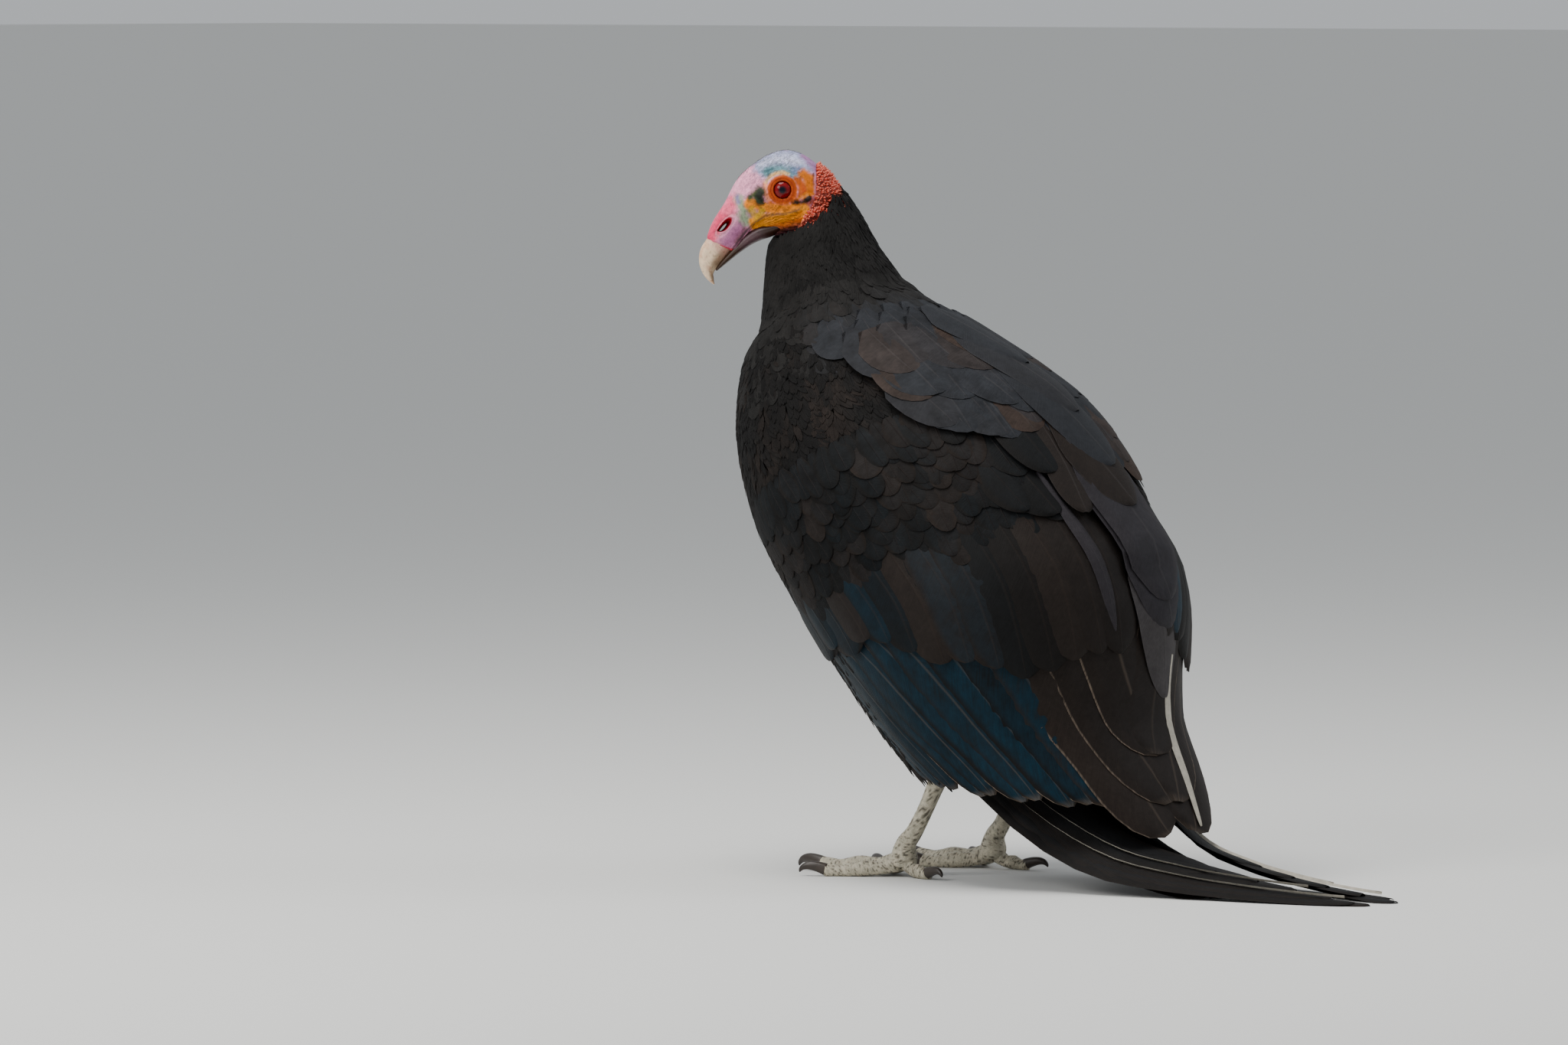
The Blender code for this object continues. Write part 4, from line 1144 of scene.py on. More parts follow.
def nostril_reach(f, u):
    """1 on the nostril's rim, less inside, more outside."""
    df, du = f - NOSTRIL[0], u - NOSTRIL[1]
    along = df * cos(NOSTRIL_TURN) + du * sin(NOSTRIL_TURN)
    across = -df * sin(NOSTRIL_TURN) + du * cos(NOSTRIL_TURN)
    return np.hypot(along / NOSTRIL_REACH, across / NOSTRIL_RISE)


def painted(f, u):
    """Where a place of the head lies on the plan of its markings, which shift a little away from the eye."""
    far = ramp(np.hypot(f, u), 8, 20) * ramp(-f, -25, -10)
    return f + 1.0 * far, u - 1.3 * far


def before_cere(f, u):
    """How far in front of the cere's front edge a place is."""
    return f - CERE_FRONT - CERE_SLOPE * (u + 3)


def cheek_folds(f, u, stir):
    """A wave of folds that fan back from the mouth's corner."""
    fan = np.degrees(np.arctan2(u + 7.0, 30.0 - f))
    return np.sin(fan * 1.15 + stir * 5)


def lid_rings(d):
    """A wave of rings round the eye."""
    return np.cos((d - LID_REACH) * 2 * pi / 1.45)


def coral_share(f, u, points):
    """1 on the carunculated band round the back of the head and the throat."""
    f, u = painted(f, u)
    edge = np.array(CORAL_EDGE, float)
    limit = np.interp(f, edge[:, 0], edge[:, 1], left=60.0, right=-60.0)
    return ramp(limit - u + 0.5 * flow(points, 0.003, 2), -0.7, 0.7)


def head_bmesh():
    """The bare head: its profile, then lids, folds, cere and papillae's ground."""
    bm, share, angle = ball(230, 200)
    rows = curve(HEAD, share * (len(HEAD) - 1))
    end = closing(share)
    middle, deep = (rows[:, 1] + rows[:, 2]) / 2, (rows[:, 1] - rows[:, 2]) / 2 * end
    full = ramp(-np.cos(angle), 0.0, 0.5) * ramp(-rows[:, 0], -12, 0)  # the cheek's and throat's hind part
    power = 2.25 + 1.6 * full
    u = middle + deep * powered(np.cos(angle), power)
    narrow = 1 - 0.16 * ramp(u, 4, 22) - 0.10 * ramp(-u, 12, 24) * (1 - full)
    x = rows[:, 3] * end * powered(np.sin(angle), power) * narrow
    front = ramp(rows[:, 0], 30, 50)
    f = rows[:, 0] + front * (CERE_SLOPE * (u + 3) - CERE_BACK)
    normals = move_corners(bm, np.stack((f, u, x), 1) * MM)
    points = from_head(np.stack((f, u, x), 1))
    side = np.sign(x + 1e-9)
    broad = ramp(np.abs(x), 2, 6)

    # Larger forms
    d = np.hypot(f, u)
    lift = 0.9 * bump_at(away_from(((9, 10.5), (2, 11.8), (-6, 10), (-11, 5)), f, u), 3.2)
    lift -= 1.3 * bump_at(np.hypot((f - 13) / 1.3, u - 4.5), 3.8)
    lift += 0.9 * bump_at(away_from(((22, -1.5), (14, -5), (5, -11), (-3, -13)), f, u), 3.0)
    lift += 1.2 * bump_at(away_from(((21, -11.5), (12, -15.5), (3, -18.5)), f, u), 3.6)
    lift -= 0.7 * bump_at(np.hypot(f - 26, u - 4), 5)
    lift -= 1.5 * bump_at(away_from(MOUTH_LINE, f, u), 0.8)
    pf, pu = painted(f, u)
    ear = np.hypot(pf - EAR[0], pu - EAR[1])
    ear_fold = away_from(((-5.4, -9.8), (-8.9, -10.7), (-11.8, -13.4), (-11.2, -16)), pf, pu)
    lift += 0.9 * bump_at(ear_fold, 1.1) - 3.6 * ramp(-ear, -2.6, -1.3)
    lift += 0.55 * bump_at(nostril_reach(f, u) - 1.28, 0.22)
    lift += 0.5 * bump_at(before_cere(f, u) + 1.2, 1.3)  # the cere's swollen edge

    # Wrinkles: cheek folds fan back from the mouth's corner, finer ones elsewhere
    stir = flow(points, 0.006, 3)
    cheek = ramp(-u, 3, 7) * ramp(22 - f, 0, 6) * ramp(f, -8, 0)
    lift += 0.22 * cheek * cheek_folds(f, u, stir)
    crown = ramp(u, 9, 15)
    lift += 0.10 * crown * flow(points, 0.0016, 2, 5.0)
    lift += 0.16 * (1 - crown) * (1 - cheek) * flow(points, 0.0021, 3, 9.0) * ramp(d, 7, 9)
    folds = np.sin(f * 2.3 + u * 1.1 + stir * 4)
    lift += 0.12 * folds * ramp(f, 18, 24) * ramp(-f, -34, -28) * broad
    band = coral_share(f, u, points)
    lift += band * (0.55 + 0.55 * flow(points, 0.0019, 2, 2.0))
    lift *= np.clip(broad + (1 - broad) * 0.6, 0, 1) * end
    moved = np.stack((f, u, x), 1) + normals * lift[:, None]

    # Lids: a rim just over the eyeball, then rings that die away outwards
    f, u, x = moved.T
    d = np.hypot(f, u)
    drawn = (EYE_OPENING + (d - EYE_OPENING) * (1 - bump_at(d - EYE_OPENING, 0.4))) / np.maximum(d, 0.1)
    f, u, d = f * drawn, u * drawn, d * drawn
    ball_front = EYE_ASIDE / MM + np.sqrt(np.clip((EYE_RADIUS / MM) ** 2 - d**2, 4, None))
    rings = 0.30 * lid_rings(d) * ramp(-d, -9.2, -6.4)
    lid = ball_front[np.argmin(np.abs(d - EYE_OPENING))] + 0.75 - 0.10 * (d - LID_REACH) + rings
    under = EYE_ASIDE / MM + 1.2
    near = ramp(-d, -LID_WIDTH - 2.2, -LID_WIDTH + 1.2)
    inside = ramp(-d, -EYE_OPENING + 0.08, -EYE_OPENING + 0.45)
    lateral = np.abs(x) * (1 - near) + lid * near
    lateral = lateral * (1 - inside) + under * inside
    facing = ramp(np.abs(x), 7, 10)
    x = side * (np.abs(x) * (1 - facing) + lateral * facing)
    return shaped(bm, from_head(np.stack((f, u, x), 1)))


def bill_bmesh(rows, u_segments, v_segments, edge=0.0):
    """Half of the bill round two lines; edge pinches its cutting edge at the bottom."""
    bm, share, angle = ball(u_segments, v_segments)
    table = curve(rows, share * (len(rows) - 1))
    end = closing(share, 0.02)
    middle = (table[:, 0:2] + table[:, 2:4]) / 2
    half = (table[:, 0:2] - table[:, 2:4]) / 2 * end[:, None]
    across, rise = powered(np.sin(angle), 2.1), powered(np.cos(angle), 2.1)
    across = across * (1 - edge * ramp(-rise, 0.2, 1.0))
    return shaped(bm, from_head(np.column_stack((middle + half * rise[:, None], table[:, 4] * end * across))))


def to_object(name, bm, material=None):
    mesh = bpy.data.meshes.new(name)
    bm.to_mesh(mesh)
    bm.free()
    mesh.shade_smooth()
    if material:
        mesh.materials.append(material)
    return linked(name, mesh)


def combined(obj, other, operation):
    """Adds or takes away another closed shape, which is then removed."""
    modifier = obj.modifiers.new(operation.lower(), "BOOLEAN")
    modifier.operation, modifier.solver, modifier.object = operation, "MANIFOLD", other
    settled(obj)
    bpy.data.objects.remove(other)
    return obj


def settled(obj):
    bpy.context.view_layer.update()
    mesh = bpy.data.meshes.new_from_object(obj.evaluated_get(bpy.context.evaluated_depsgraph_get()))
    obj.modifiers.clear()
    obj.data = mesh
    return obj


def corners_of(mesh, what="co"):
    """A mesh's corners as an array of their places, or of their normals."""
    values = np.empty(len(mesh.vertices) * 3, np.float32)
    mesh.vertices.foreach_get(what, values)
    return values.reshape(-1, 3).astype(float)


def nostril_cutter():
    """A passage from side to side, wide outside and a slit in the middle."""
    bm, share, angle = ball(40, 48)
    x = (share - 0.5) * 36
    wide = np.interp(np.abs(x), (0, 2.5, 5.0, 8.0), (0.46, 0.50, 0.84, 1.04)) * closing(share, 0.02)
    thin = np.interp(np.abs(x), (0, 2.5, 5.0, 8.0), (0.24, 0.27, 0.80, 1.15)) * closing(share, 0.02)
    along, across = np.cos(angle) * NOSTRIL_REACH * wide, np.sin(angle) * NOSTRIL_RISE * thin
    across += 0.35 * along * ramp(along, 0, 8)
    inward = np.interp(np.abs(x), (0, 2.5, 6.0), (1.6, 1.5, 0.0))
    f = NOSTRIL[0] + along * cos(NOSTRIL_TURN) - across * sin(NOSTRIL_TURN) + inward
    u = NOSTRIL[1] + along * sin(NOSTRIL_TURN) + across * cos(NOSTRIL_TURN) - inward * 0.2
    return to_object("nostril_cutter", shaped(bm, from_head(np.stack((f, u, x), 1))))


def head_tints(points):
    """Display markings of the bare head at points of the scene, as linear colours, with painted shade in its
    creases and hollows.
    """
    f, u, x = to_head(points).T
    band = coral_share(f, u, points)
    f, u = painted(f, u)
    stir = 0.6 * flow(points, 0.0035, 3, 1.0) + 0.5 * flow(points, 0.0011, 2, 21.0)
    tint = np.repeat(display((222, 160, 184))[None], len(points), 0)
    tint = tint * (1 + 0.2 * flow(points, 0.0018, 3, 11.0)[:, None])
    for line, width, soft, shade, strength in HEAD_PAINT:
        share = ramp(width + soft - away_from(line, f, u) + stir * soft * 0.8, 0, soft * 2) * strength
        tint = mixed(tint, share, display(shade))
    # Streaks that run back over the crown
    streak = flow(np.stack((f * 0.35, u * 1.5, x * 1.5), 1) * MM, 0.0020, 2, 31.0)
    tint = tint * (1 + 0.34 * streak * ramp(u, 6, 10) * ramp(-f, -12, -4))[:, None]
    # Painted shade: fine darker lines in the troughs of the cheek's folds
    cheek = ramp(-u, 1, 5) * ramp(22 - f, 0, 5) * ramp(f, -9, -3)
    stripes = ramp(cheek_folds(f, u, flow(points, 0.006, 3)), -0.9, -0.2)
    tint = tint * (1 - 0.55 * (cheek * (1 - stripes))[:, None])
    # Painted shade along the mouth's groove
    tint = tint * (1 - 0.85 * bump_at(away_from(MOUTH_LINE, f, u), 0.9)[:, None])
    f, u, x = to_head(points).T
    d = np.hypot(f, u)
    for reach, shade in LID_PAINT:
        tint = mixed(tint, ramp(reach - d + stir * 0.5, -0.4, 0.5), display(shade))
    # Painted shade in the troughs between the lids' rings
    ring = 0.5 + 0.5 * lid_rings(d)
    tint = tint * (1 - 0.22 * ((1 - ring) * ramp(-d, -9.0, -7.5))[:, None])
    # Painted shade in the dips of the coral band's lumpy ground, coral on its rises
    rough = 0.5 + 0.5 * flow(points, 0.0019, 2, 2.0)
    tint = mixed(tint, band, mixed(display(CORAL_SHADE, 1.0), rough, display(CORAL, 1.0)))
    # Painted shade: the ear's hollow nearly black
    ear_f, ear_u = painted(f, u)
    ear = np.hypot(ear_f - EAR[0], ear_u - EAR[1])
    tint = tint * (1 - 0.97 * ramp(-ear, -2.7, -1.9)[:, None])
    rim = nostril_reach(f, u)
    tint = mixed(tint, bump_at(rim - 1.22, 0.2) * 0.35, display((232, 180, 186)))
    # Inside the nostril: dark red flesh, with painted shade deeper in
    hollow = ramp(-rim, -1.06, -1.0) * ramp(-np.abs(x), -7.4, -5.2)
    inner = ramp(-np.abs(x), -6.0, -3.0)
    tint = mixed(tint, hollow, mixed(display((176, 48, 60)), inner, display((70, 12, 18))))
    return mixed(tint, bump_at(before_cere(f, u) + 0.7, 0.9) * 0.8, display((206, 44, 62)))


def scattered(mesh, dice, apart, wanted):
    """Places and normals spread over the faces whose middles are wanted, no closer than apart."""
    mesh.calc_loop_triangles()
    corners, normals = corners_of(mesh), corners_of(mesh, "normal")
    triangles = np.empty(len(mesh.loop_triangles) * 3, np.int32)
    mesh.loop_triangles.foreach_get("vertices", triangles)
    triangles = np.unique(np.sort(triangles.reshape(-1, 3), axis=1), axis=0)  # in an order that never varies
    triangles = triangles[wanted(corners[triangles].mean(1))]
    a, b, c = (corners[triangles[:, k]] for k in range(3))
    area = np.linalg.norm(np.cross(b - a, c - a), axis=1) / 2
    many = int(area.sum() / apart**2 * 3)
    picked = dice.choice(len(triangles), many, p=area / area.sum())
    share = dice.random((many, 2))
    share = np.where(share.sum(1, keepdims=True) > 1, 1 - share, share)
    weights = np.concatenate((1 - share.sum(1, keepdims=True), share), 1)[..., None]
    places = (corners[triangles[picked]] * weights).sum(1)
    ways = unit((normals[triangles[picked]] * weights).sum(1))
    _, first = np.unique(np.floor(places / apart).astype(int), axis=0, return_index=True)
    first = np.sort(first)
    return places[first], ways[first]


def papillae(mesh, dice):
    """Small fleshy tips on the coral band, as corners, faces and how far out each corner is."""

    def wanted(points):
        f, u, x = to_head(points).T
        near = (f > -31) & (f < 14) & (u > -31) & (u < 6) & (np.abs(x) < 26)
        near[near] = coral_share(f[near], u[near], points[near]) > 0.55
        return near

    points, normals = scattered(mesh, dice, 0.00150, wanted)
    faces, share, angle = small_ball(6, 5)
    blobs = []
    for point, normal in zip(points, normals):
        length = 0.0015 + 0.0018 * dice.random()
        thick = 0.00058 + 0.00020 * dice.random()
        out = normal - HEAD_AXES[0] * 0.35 + dice.normal(0, 0.18, 3)
        out = out / np.linalg.norm(out)
        side = unit(np.cross(out, (0.3, 0.5, 0.8)))
        radius = thick * np.sin(pi * share) ** 0.8 * (1.1 - 0.3 * share)
        blobs.append(blob(point, out, side, share * length * 1.35 - length * 0.35, radius, angle))
    return np.array(blobs), faces, np.tile(share, len(blobs))


# Feet: they repeat the solids' own sizes

STANCE = (0.0380, -0.08135)  # the ankle's place
HUB = 0.0125
SHANK = (
    (0.0370, -0.0529, 0.0790, 0.0058),
    (0.0365, -0.0539, 0.0655, 0.0062),
    (0.0362, -0.0629, 0.0460, 0.0046),
    (0.0374, -0.0734, 0.0270, 0.0047),
    (0.0380, -0.0800, 0.0185, 0.0057),
    (0.0380, -0.0813, 0.0115, 0.0075),
    (0.0380, -0.0813, 0.0052, 0.0066),
)
# Toes: name, turn from straight ahead in degrees, length, radius, claw length
TOES = (
    ("middle", 3, 0.060, 0.0047, 0.0180),
    ("inner", -31, 0.043, 0.0042, 0.0185),
    ("outer", 36, 0.046, 0.0040, 0.0150),
    ("hind", 168, 0.023, 0.0036, 0.0140),
)
SCUTE = 0.0024  # length of one scale on top of a toe


def toe_line(turn, length, radius):
    ahead = np.array((sin(radians(turn)), -cos(radians(turn)), 0))
    share = np.linspace(0, 1, 9)
    thick = radius * (1.12 - 0.26 * share) * (1 + 0.10 * np.cos(4 * pi * share))
    places = np.array((*STANCE, 0)) + ahead * (0.003 + (length - 0.003) * share)[:, None]
    places[:, 2] = thick - 0.0004 + (HUB * 0.45 - 0.0022) * (1 - share) ** 3
    return np.column_stack((places, thick)), ahead


def claw_line(toe, ahead, radius, length):
    base = toe[-1, :3]
    share = np.linspace(0, 1, 10)
    places = base + ahead * (length * 0.86 * np.sin(share * pi / 2) - 0.0022 * (1 - share))[:, None]
    arch = 0.20 * length * np.sin(pi * share * 0.9)
    places[:, 2] = base[2] + 0.0003 + arch - (base[2] - 0.0009) * share**1.6
    return np.column_stack((places, radius * 0.80 * (1 - share) ** 0.7 + 0.0003))


def limb_bmesh(rows, u_segments, v_segments, scutes=0.0, part=0.03):
    """A limb round a line of x, y, z and radius, and how far along it each corner is. Scutes are the height
    of the plates across its upper side, part is the share of it over which an end closes."""
    bm, share, angle = ball(u_segments, v_segments)
    station = share * (len(rows) - 1)
    table = curve(rows, station)
    way = unit(curve(rows, station + 0.02)[:, :3] - curve(rows, station - 0.02)[:, :3])
    level = abs(way[len(way) // 2, 2]) < 0.7
    side = unit(np.cross(way, (0, 0.25, 1.0) if level else (0, -1.0, 0)))
    up = np.cross(side, way)
    fine = curve(rows, np.linspace(0, len(rows) - 1, 80))
    run = share * np.linalg.norm(np.diff(fine[:, :3], axis=0), axis=1).sum()
    radius = table[:, 3] * closing(share, part)
    if scutes:
        top = ramp(np.cos(angle), 0.1, 0.6)
        plates = np.abs(np.sin(run / SCUTE * pi)) ** 0.45
        cells = np.abs(np.sin(run / SCUTE * 2.2 * pi + np.round(angle * 3.2) % 2 * 1.5))
        cells = cells * np.abs(np.sin(angle * 5))
        radius = radius + scutes * (plates - 0.7) * top
        radius = radius + scutes * 0.55 * (cells**0.5 - 0.6) * (1 - top)
    spots = table[:, :3] + side * (radius * np.sin(angle))[:, None] + up * (radius * np.cos(angle))[:, None]
    return shaped(bm, spots), run


def mirrored(bm):
    for vert in bm.verts:
        vert.co.x = -vert.co.x
    bmesh.ops.recalc_face_normals(bm, faces=bm.faces)
    return bm


def on_floor(bm):
    """Presses what is under the floor up to it."""
    for vert in bm.verts:
        vert.co.z = max(vert.co.z, 0.0)
    return bm


def smoothed(bm, times):
    axes = {"use_axis_x": True, "use_axis_y": True, "use_axis_z": True}
    for _ in range(times):
        bmesh.ops.smooth_vert(bm, verts=bm.verts, factor=0.5, **axes)


def remeshed(obj, size):
    """One closed surface round an object's forms, from voxels of a size."""
    modifier = obj.modifiers.new("voxels", "REMESH")
    modifier.mode, modifier.voxel_size = "VOXEL", size
    return settled(obj)


def body_skin():
    """The feathered parts' flesh as one closed surface, inside the solids by the coat's depth."""
    names = list(TRUNK_NODES)
    for side, _ in SIDES:
        names += [f"{side}_wing_coverts", f"{side}_scapulars", f"{side}_thigh"]
    bm = bmesh.new()
    for name in names:
        bm.from_mesh(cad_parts[name].data)
    bmesh.ops.remove_doubles(bm, verts=bm.verts, dist=1e-5)
    obj = remeshed(to_object("skin", bm), 0.0024)
    bm = bmesh.new()
    bm.from_mesh(obj.data)
    smoothed(bm, 3)
    bm.normal_update()
    depth = looks().coat_depth
    f, u, _ = to_head(np.array([vert.co for vert in bm.verts])).T
    deeper = 0.004 * ramp(u, -34, -26) * ramp(f, -34, -28) * ramp(-f, -40, -30)  # well inside the bare head
    for vert, more in zip(bm.verts, deeper):
        vert.co -= vert.normal * (depth + more)
    smoothed(bm, 4)
    bm.to_mesh(obj.data)
    bm.free()
    return remeshed(obj, 0.0042)


def leg_tints(points):
    """Pale scales with dark gaps and specks."""
    speck = flow(points, 0.0011, 2, 4.0)
    patch = flow(points, 0.006, 2, 8.0)
    tint = display((196, 190, 174)) * (1 - 0.16 * patch[:, None])
    return mixed(tint, ramp(speck, 0.22, 0.42) * 0.85, display((52, 46, 40)))


def skin(material):
    body = body_skin()
    head = to_object("head_skin", head_bmesh())
    combined(head, nostril_cutter(), "DIFFERENCE")
    combined(body, head, "UNION")
    for _, sign in SIDES:
        parts = [limb_bmesh(SHANK, 28, 70, 0.00035)[0]]
        for _, turn, length, radius, _ in TOES:
            rows, _ = toe_line(turn, length, radius)
            parts.append(on_floor(limb_bmesh(rows, 22, 60, 0.0005, 0.05)[0]))
        for bm in parts:
            if sign < 0:
                mirrored(bm)
            combined(body, to_object("limb", bm), "UNION")
    points = corners_of(body.data)
    f, u, x = to_head(points).T
    at_head = (np.abs(x) < 24) & (f > -28) & (f < 70) & (u > -29) & (u < 30)
    at_leg = (points[:, 2] < 0.088) & ~at_head
    # The body's skin near black: painted shade where it shows between the feathers
    tint = np.repeat(display((34, 30, 28))[None], len(points), 0)
    tint[at_head] = head_tints(points[at_head])
    tint[at_leg] = leg_tints(points[at_leg])
    paint_corners(body.data, tint)
    body.data.materials.clear()
    body.data.materials.append(material)
    body.data.shade_smooth()
    body.name = "skin"
    return body


def coral_tips(skin_obj, material):
    """The fleshy tips round the back of the head."""
    blobs, faces, out = papillae(skin_obj.data, np.random.default_rng(looks().dice_seed + 30))
    obj = joined_blobs("coral_tips", blobs, faces, material)
    tint = mixed(display(CORAL), ramp(out, 0.70, 1.0), display(CORAL_TIP))
    # Painted shade on the lower part of each papilla, where it meets the skin
    tint = mixed(tint, ramp(-out, -0.5, -0.15), display(CORAL_SHADE))
    uneven = np.random.default_rng(looks().dice_seed + 31).normal(1, 0.14, len(blobs))
    paint_corners(obj.data, tint * np.repeat(uneven, blobs.shape[1])[:, None])
    return obj


def joined_blobs(name, blobs, faces, material):
    """Many small closed shapes as one object."""
    bm = bmesh.new()
    for blob_corners in blobs:
        corners = [bm.verts.new(place) for place in blob_corners]
        for face in faces:
            bm.faces.new([corners[i] for i in face])
    return to_object(name, bm, material)


def paint_corners(mesh, tint):
    layer = mesh.attributes.new("tint", "FLOAT_COLOR", "POINT")
    full = np.concatenate((tint, np.ones((len(tint), 1))), 1)
    layer.data.foreach_set("color", full.astype(np.float32).ravel())


def skin_material(name):
    """Bare skin: painted zones with fine specks, blotches and wrinkles."""
    material, tree, shader = new_finish(name)
    do, step = partial(maths, tree), partial(between_values, tree)
    place = own_place(tree)
    pores, blotch = grain(tree, place, 2600.0, 2.0), grain(tree, place, 420.0, 3.0, 0.6)
    cells = node(tree, "ShaderNodeTexVoronoi", {"Vector": place, "Scale": 1150.0}, feature="DISTANCE_TO_EDGE")
    cells = cells.outputs[0]
    light = do("MULTIPLY", do("MULTIPLY_ADD", blotch, 1.3, 0.46), step(cells, 0.0, 0.2, 0.82, 1.0))
    light = do("MULTIPLY", light, step(pores, 0.3, 0.7, 0.86, 1.08))
    height = do("ADD", do("MULTIPLY", pores, 0.5), step(cells, 0.0, 0.16))
    fill(tree, shader, {
        "Base Color": dimmed(tree, stored(tree, "tint"), light),
        "Roughness": do("MULTIPLY_ADD", blotch, 0.25, 0.36), "Normal": bumps(tree, height, 0.35, 0.00012),
        "Subsurface Weight": 0.08, "Subsurface Radius": (0.003, 0.0012, 0.0008), "Specular IOR Level": 0.22})
    return material


# Eyes, horn and claws


def eyeball(material, name, sign):
    """An eyeball with a raised cornea, its pole towards the side of the head."""
    bm, share, angle = ball(56, 90)
    polar = share * pi
    cornea = radians(42)
    radius = EYE_RADIUS * (0.985 + 0.055 * np.clip(1 - (polar / cornea) ** 2, 0, 1))
    across = radius * np.sin(polar)
    spots = np.stack((across * np.cos(angle), across * np.sin(angle), EYE_ASIDE + radius * np.cos(polar)), 1)
    spots[:, 2] *= sign
    obj = to_object(name, shaped(bm, from_head(spots / MM)), material)
    layer = obj.data.attributes.new("polar", "FLOAT", "POINT")
    layer.data.foreach_set("value", polar.astype(np.float32))
    return obj


# Colours of the eye from the middle of the pupil outwards: angle from the pole, linear colour
EYE_COLOURS = ((0.19, (0.003, 0.004, 0.010)), (0.25, (0.06, 0.004, 0.008)), (0.42, (0.20, 0.004, 0.006)),
               (0.62, (0.16, 0.003, 0.005)), (0.72, (0.030, 0.003, 0.003)))


def eye_material(name):
    material, tree, shader = new_finish(name)
    wobble = maths(tree, "MULTIPLY_ADD", grain(tree, own_place(tree), 900.0, 2.0), 0.05, -0.025)
    ring = maths(tree, "ADD", stored(tree, "polar", "Fac"), wobble)
    colours = node(tree, "ShaderNodeValToRGB", {0: ring})
    steps = colours.color_ramp.elements
    while len(steps) < len(EYE_COLOURS):
        steps.new(0.5)
    for step, (angle, shade) in zip(steps, EYE_COLOURS):
        step.position, step.color = angle, (*shade, 1)
    fill(tree, shader, {"Base Color": colours.outputs[0], "Roughness": 0.05, "Specular IOR Level": 0.16,
                        "Coat Weight": 0.15, "Coat Roughness": 0.02})
    return material


def horn_material(name, roughness):
    material, tree, shader = new_finish(name)
    place = own_place(tree)
    cloud, scratch = grain(tree, place, 260.0, 4.0, 0.6), grain(tree, place, 1500.0, 2.0)
    fill(tree, shader, {
        "Base Color": dimmed(tree, stored(tree, "tint"), maths(tree, "MULTIPLY_ADD", cloud, 0.6, 0.7)),
        "Roughness": maths(tree, "MULTIPLY_ADD", scratch, 0.2, roughness),
        "Normal": bumps(tree, maths(tree, "ADD", cloud, scratch), 0.25, 0.0002)})
    return material


def painted_horn(obj, tint, marks):
    """Paints shares of display colours over a base tint."""
    for share, shade in marks:
        tint = mixed(tint, share, display(shade))
    paint_corners(obj.data, tint)
    return obj


def upper_bill(material):
    obj = to_object("upper_bill_horn", bill_bmesh(UPPER_BILL, 64, 90, 0.35), material)
    points = corners_of(obj.data)
    f, u, _ = to_head(points).T
    streak = flow(points * (1, 1, 0.6), 0.0035, 3)
    blot = flow(points, 0.0042, 3, 5.0)
    speck = flow(points, 0.0011, 2, 7.0)
    return painted_horn(obj, display((255, 224, 196)) * (1 + 0.16 * streak[:, None]), (
        (ramp(blot, -0.1, 0.5) * 0.5, (206, 158, 134)),
        (ramp(-f, -54, -47) * 0.6, (216, 166, 158)),
        (ramp(speck, 0.40, 0.62) * 0.55, (150, 104, 76)),
        (ramp(-u, 6.0 + 2.5 * blot, 12.0) * ramp(-f, -60, -54) * 0.8, (104, 76, 60)),
        (ramp(-u, 12.5, 16.0) * ramp(-f, -63.5, -61) * 0.7, (112, 86, 66))))


def lower_bill(material):
    obj = to_object("lower_bill_horn", bill_bmesh(LOWER_BILL, 48, 80), material)
    points = corners_of(obj.data)
    f, u, _ = to_head(points).T
    stir = flow(points, 0.003, 3)
    return painted_horn(obj, display((84, 64, 68)) * (1 + 0.25 * stir[:, None]), (
        (ramp(f, 34, 44), (60, 42, 30)),
        (ramp(-f, -30, -20), (50, 30, 22)),
        (ramp(u, -9.4, -8.0), (52, 34, 28))))


def claw(material, side, sign, name, turn, length, radius, long):
    rows, ahead = toe_line(turn, length, radius)
    bm, run = limb_bmesh(claw_line(rows, ahead, radius, long), 20, 36, 0.0, 0.02)
    if sign < 0:
        mirrored(bm)
    obj = to_object(f"{side}_{name}_claw_horn", on_floor(bm), material)
    tip, stir = (run / run.max())[:, None], flow(corners_of(obj.data), 0.002, 2)[:, None]
    return painted_horn(obj, display((64, 57, 52)) * (1 - 0.45 * tip) * (1 + 0.2 * stir), ())


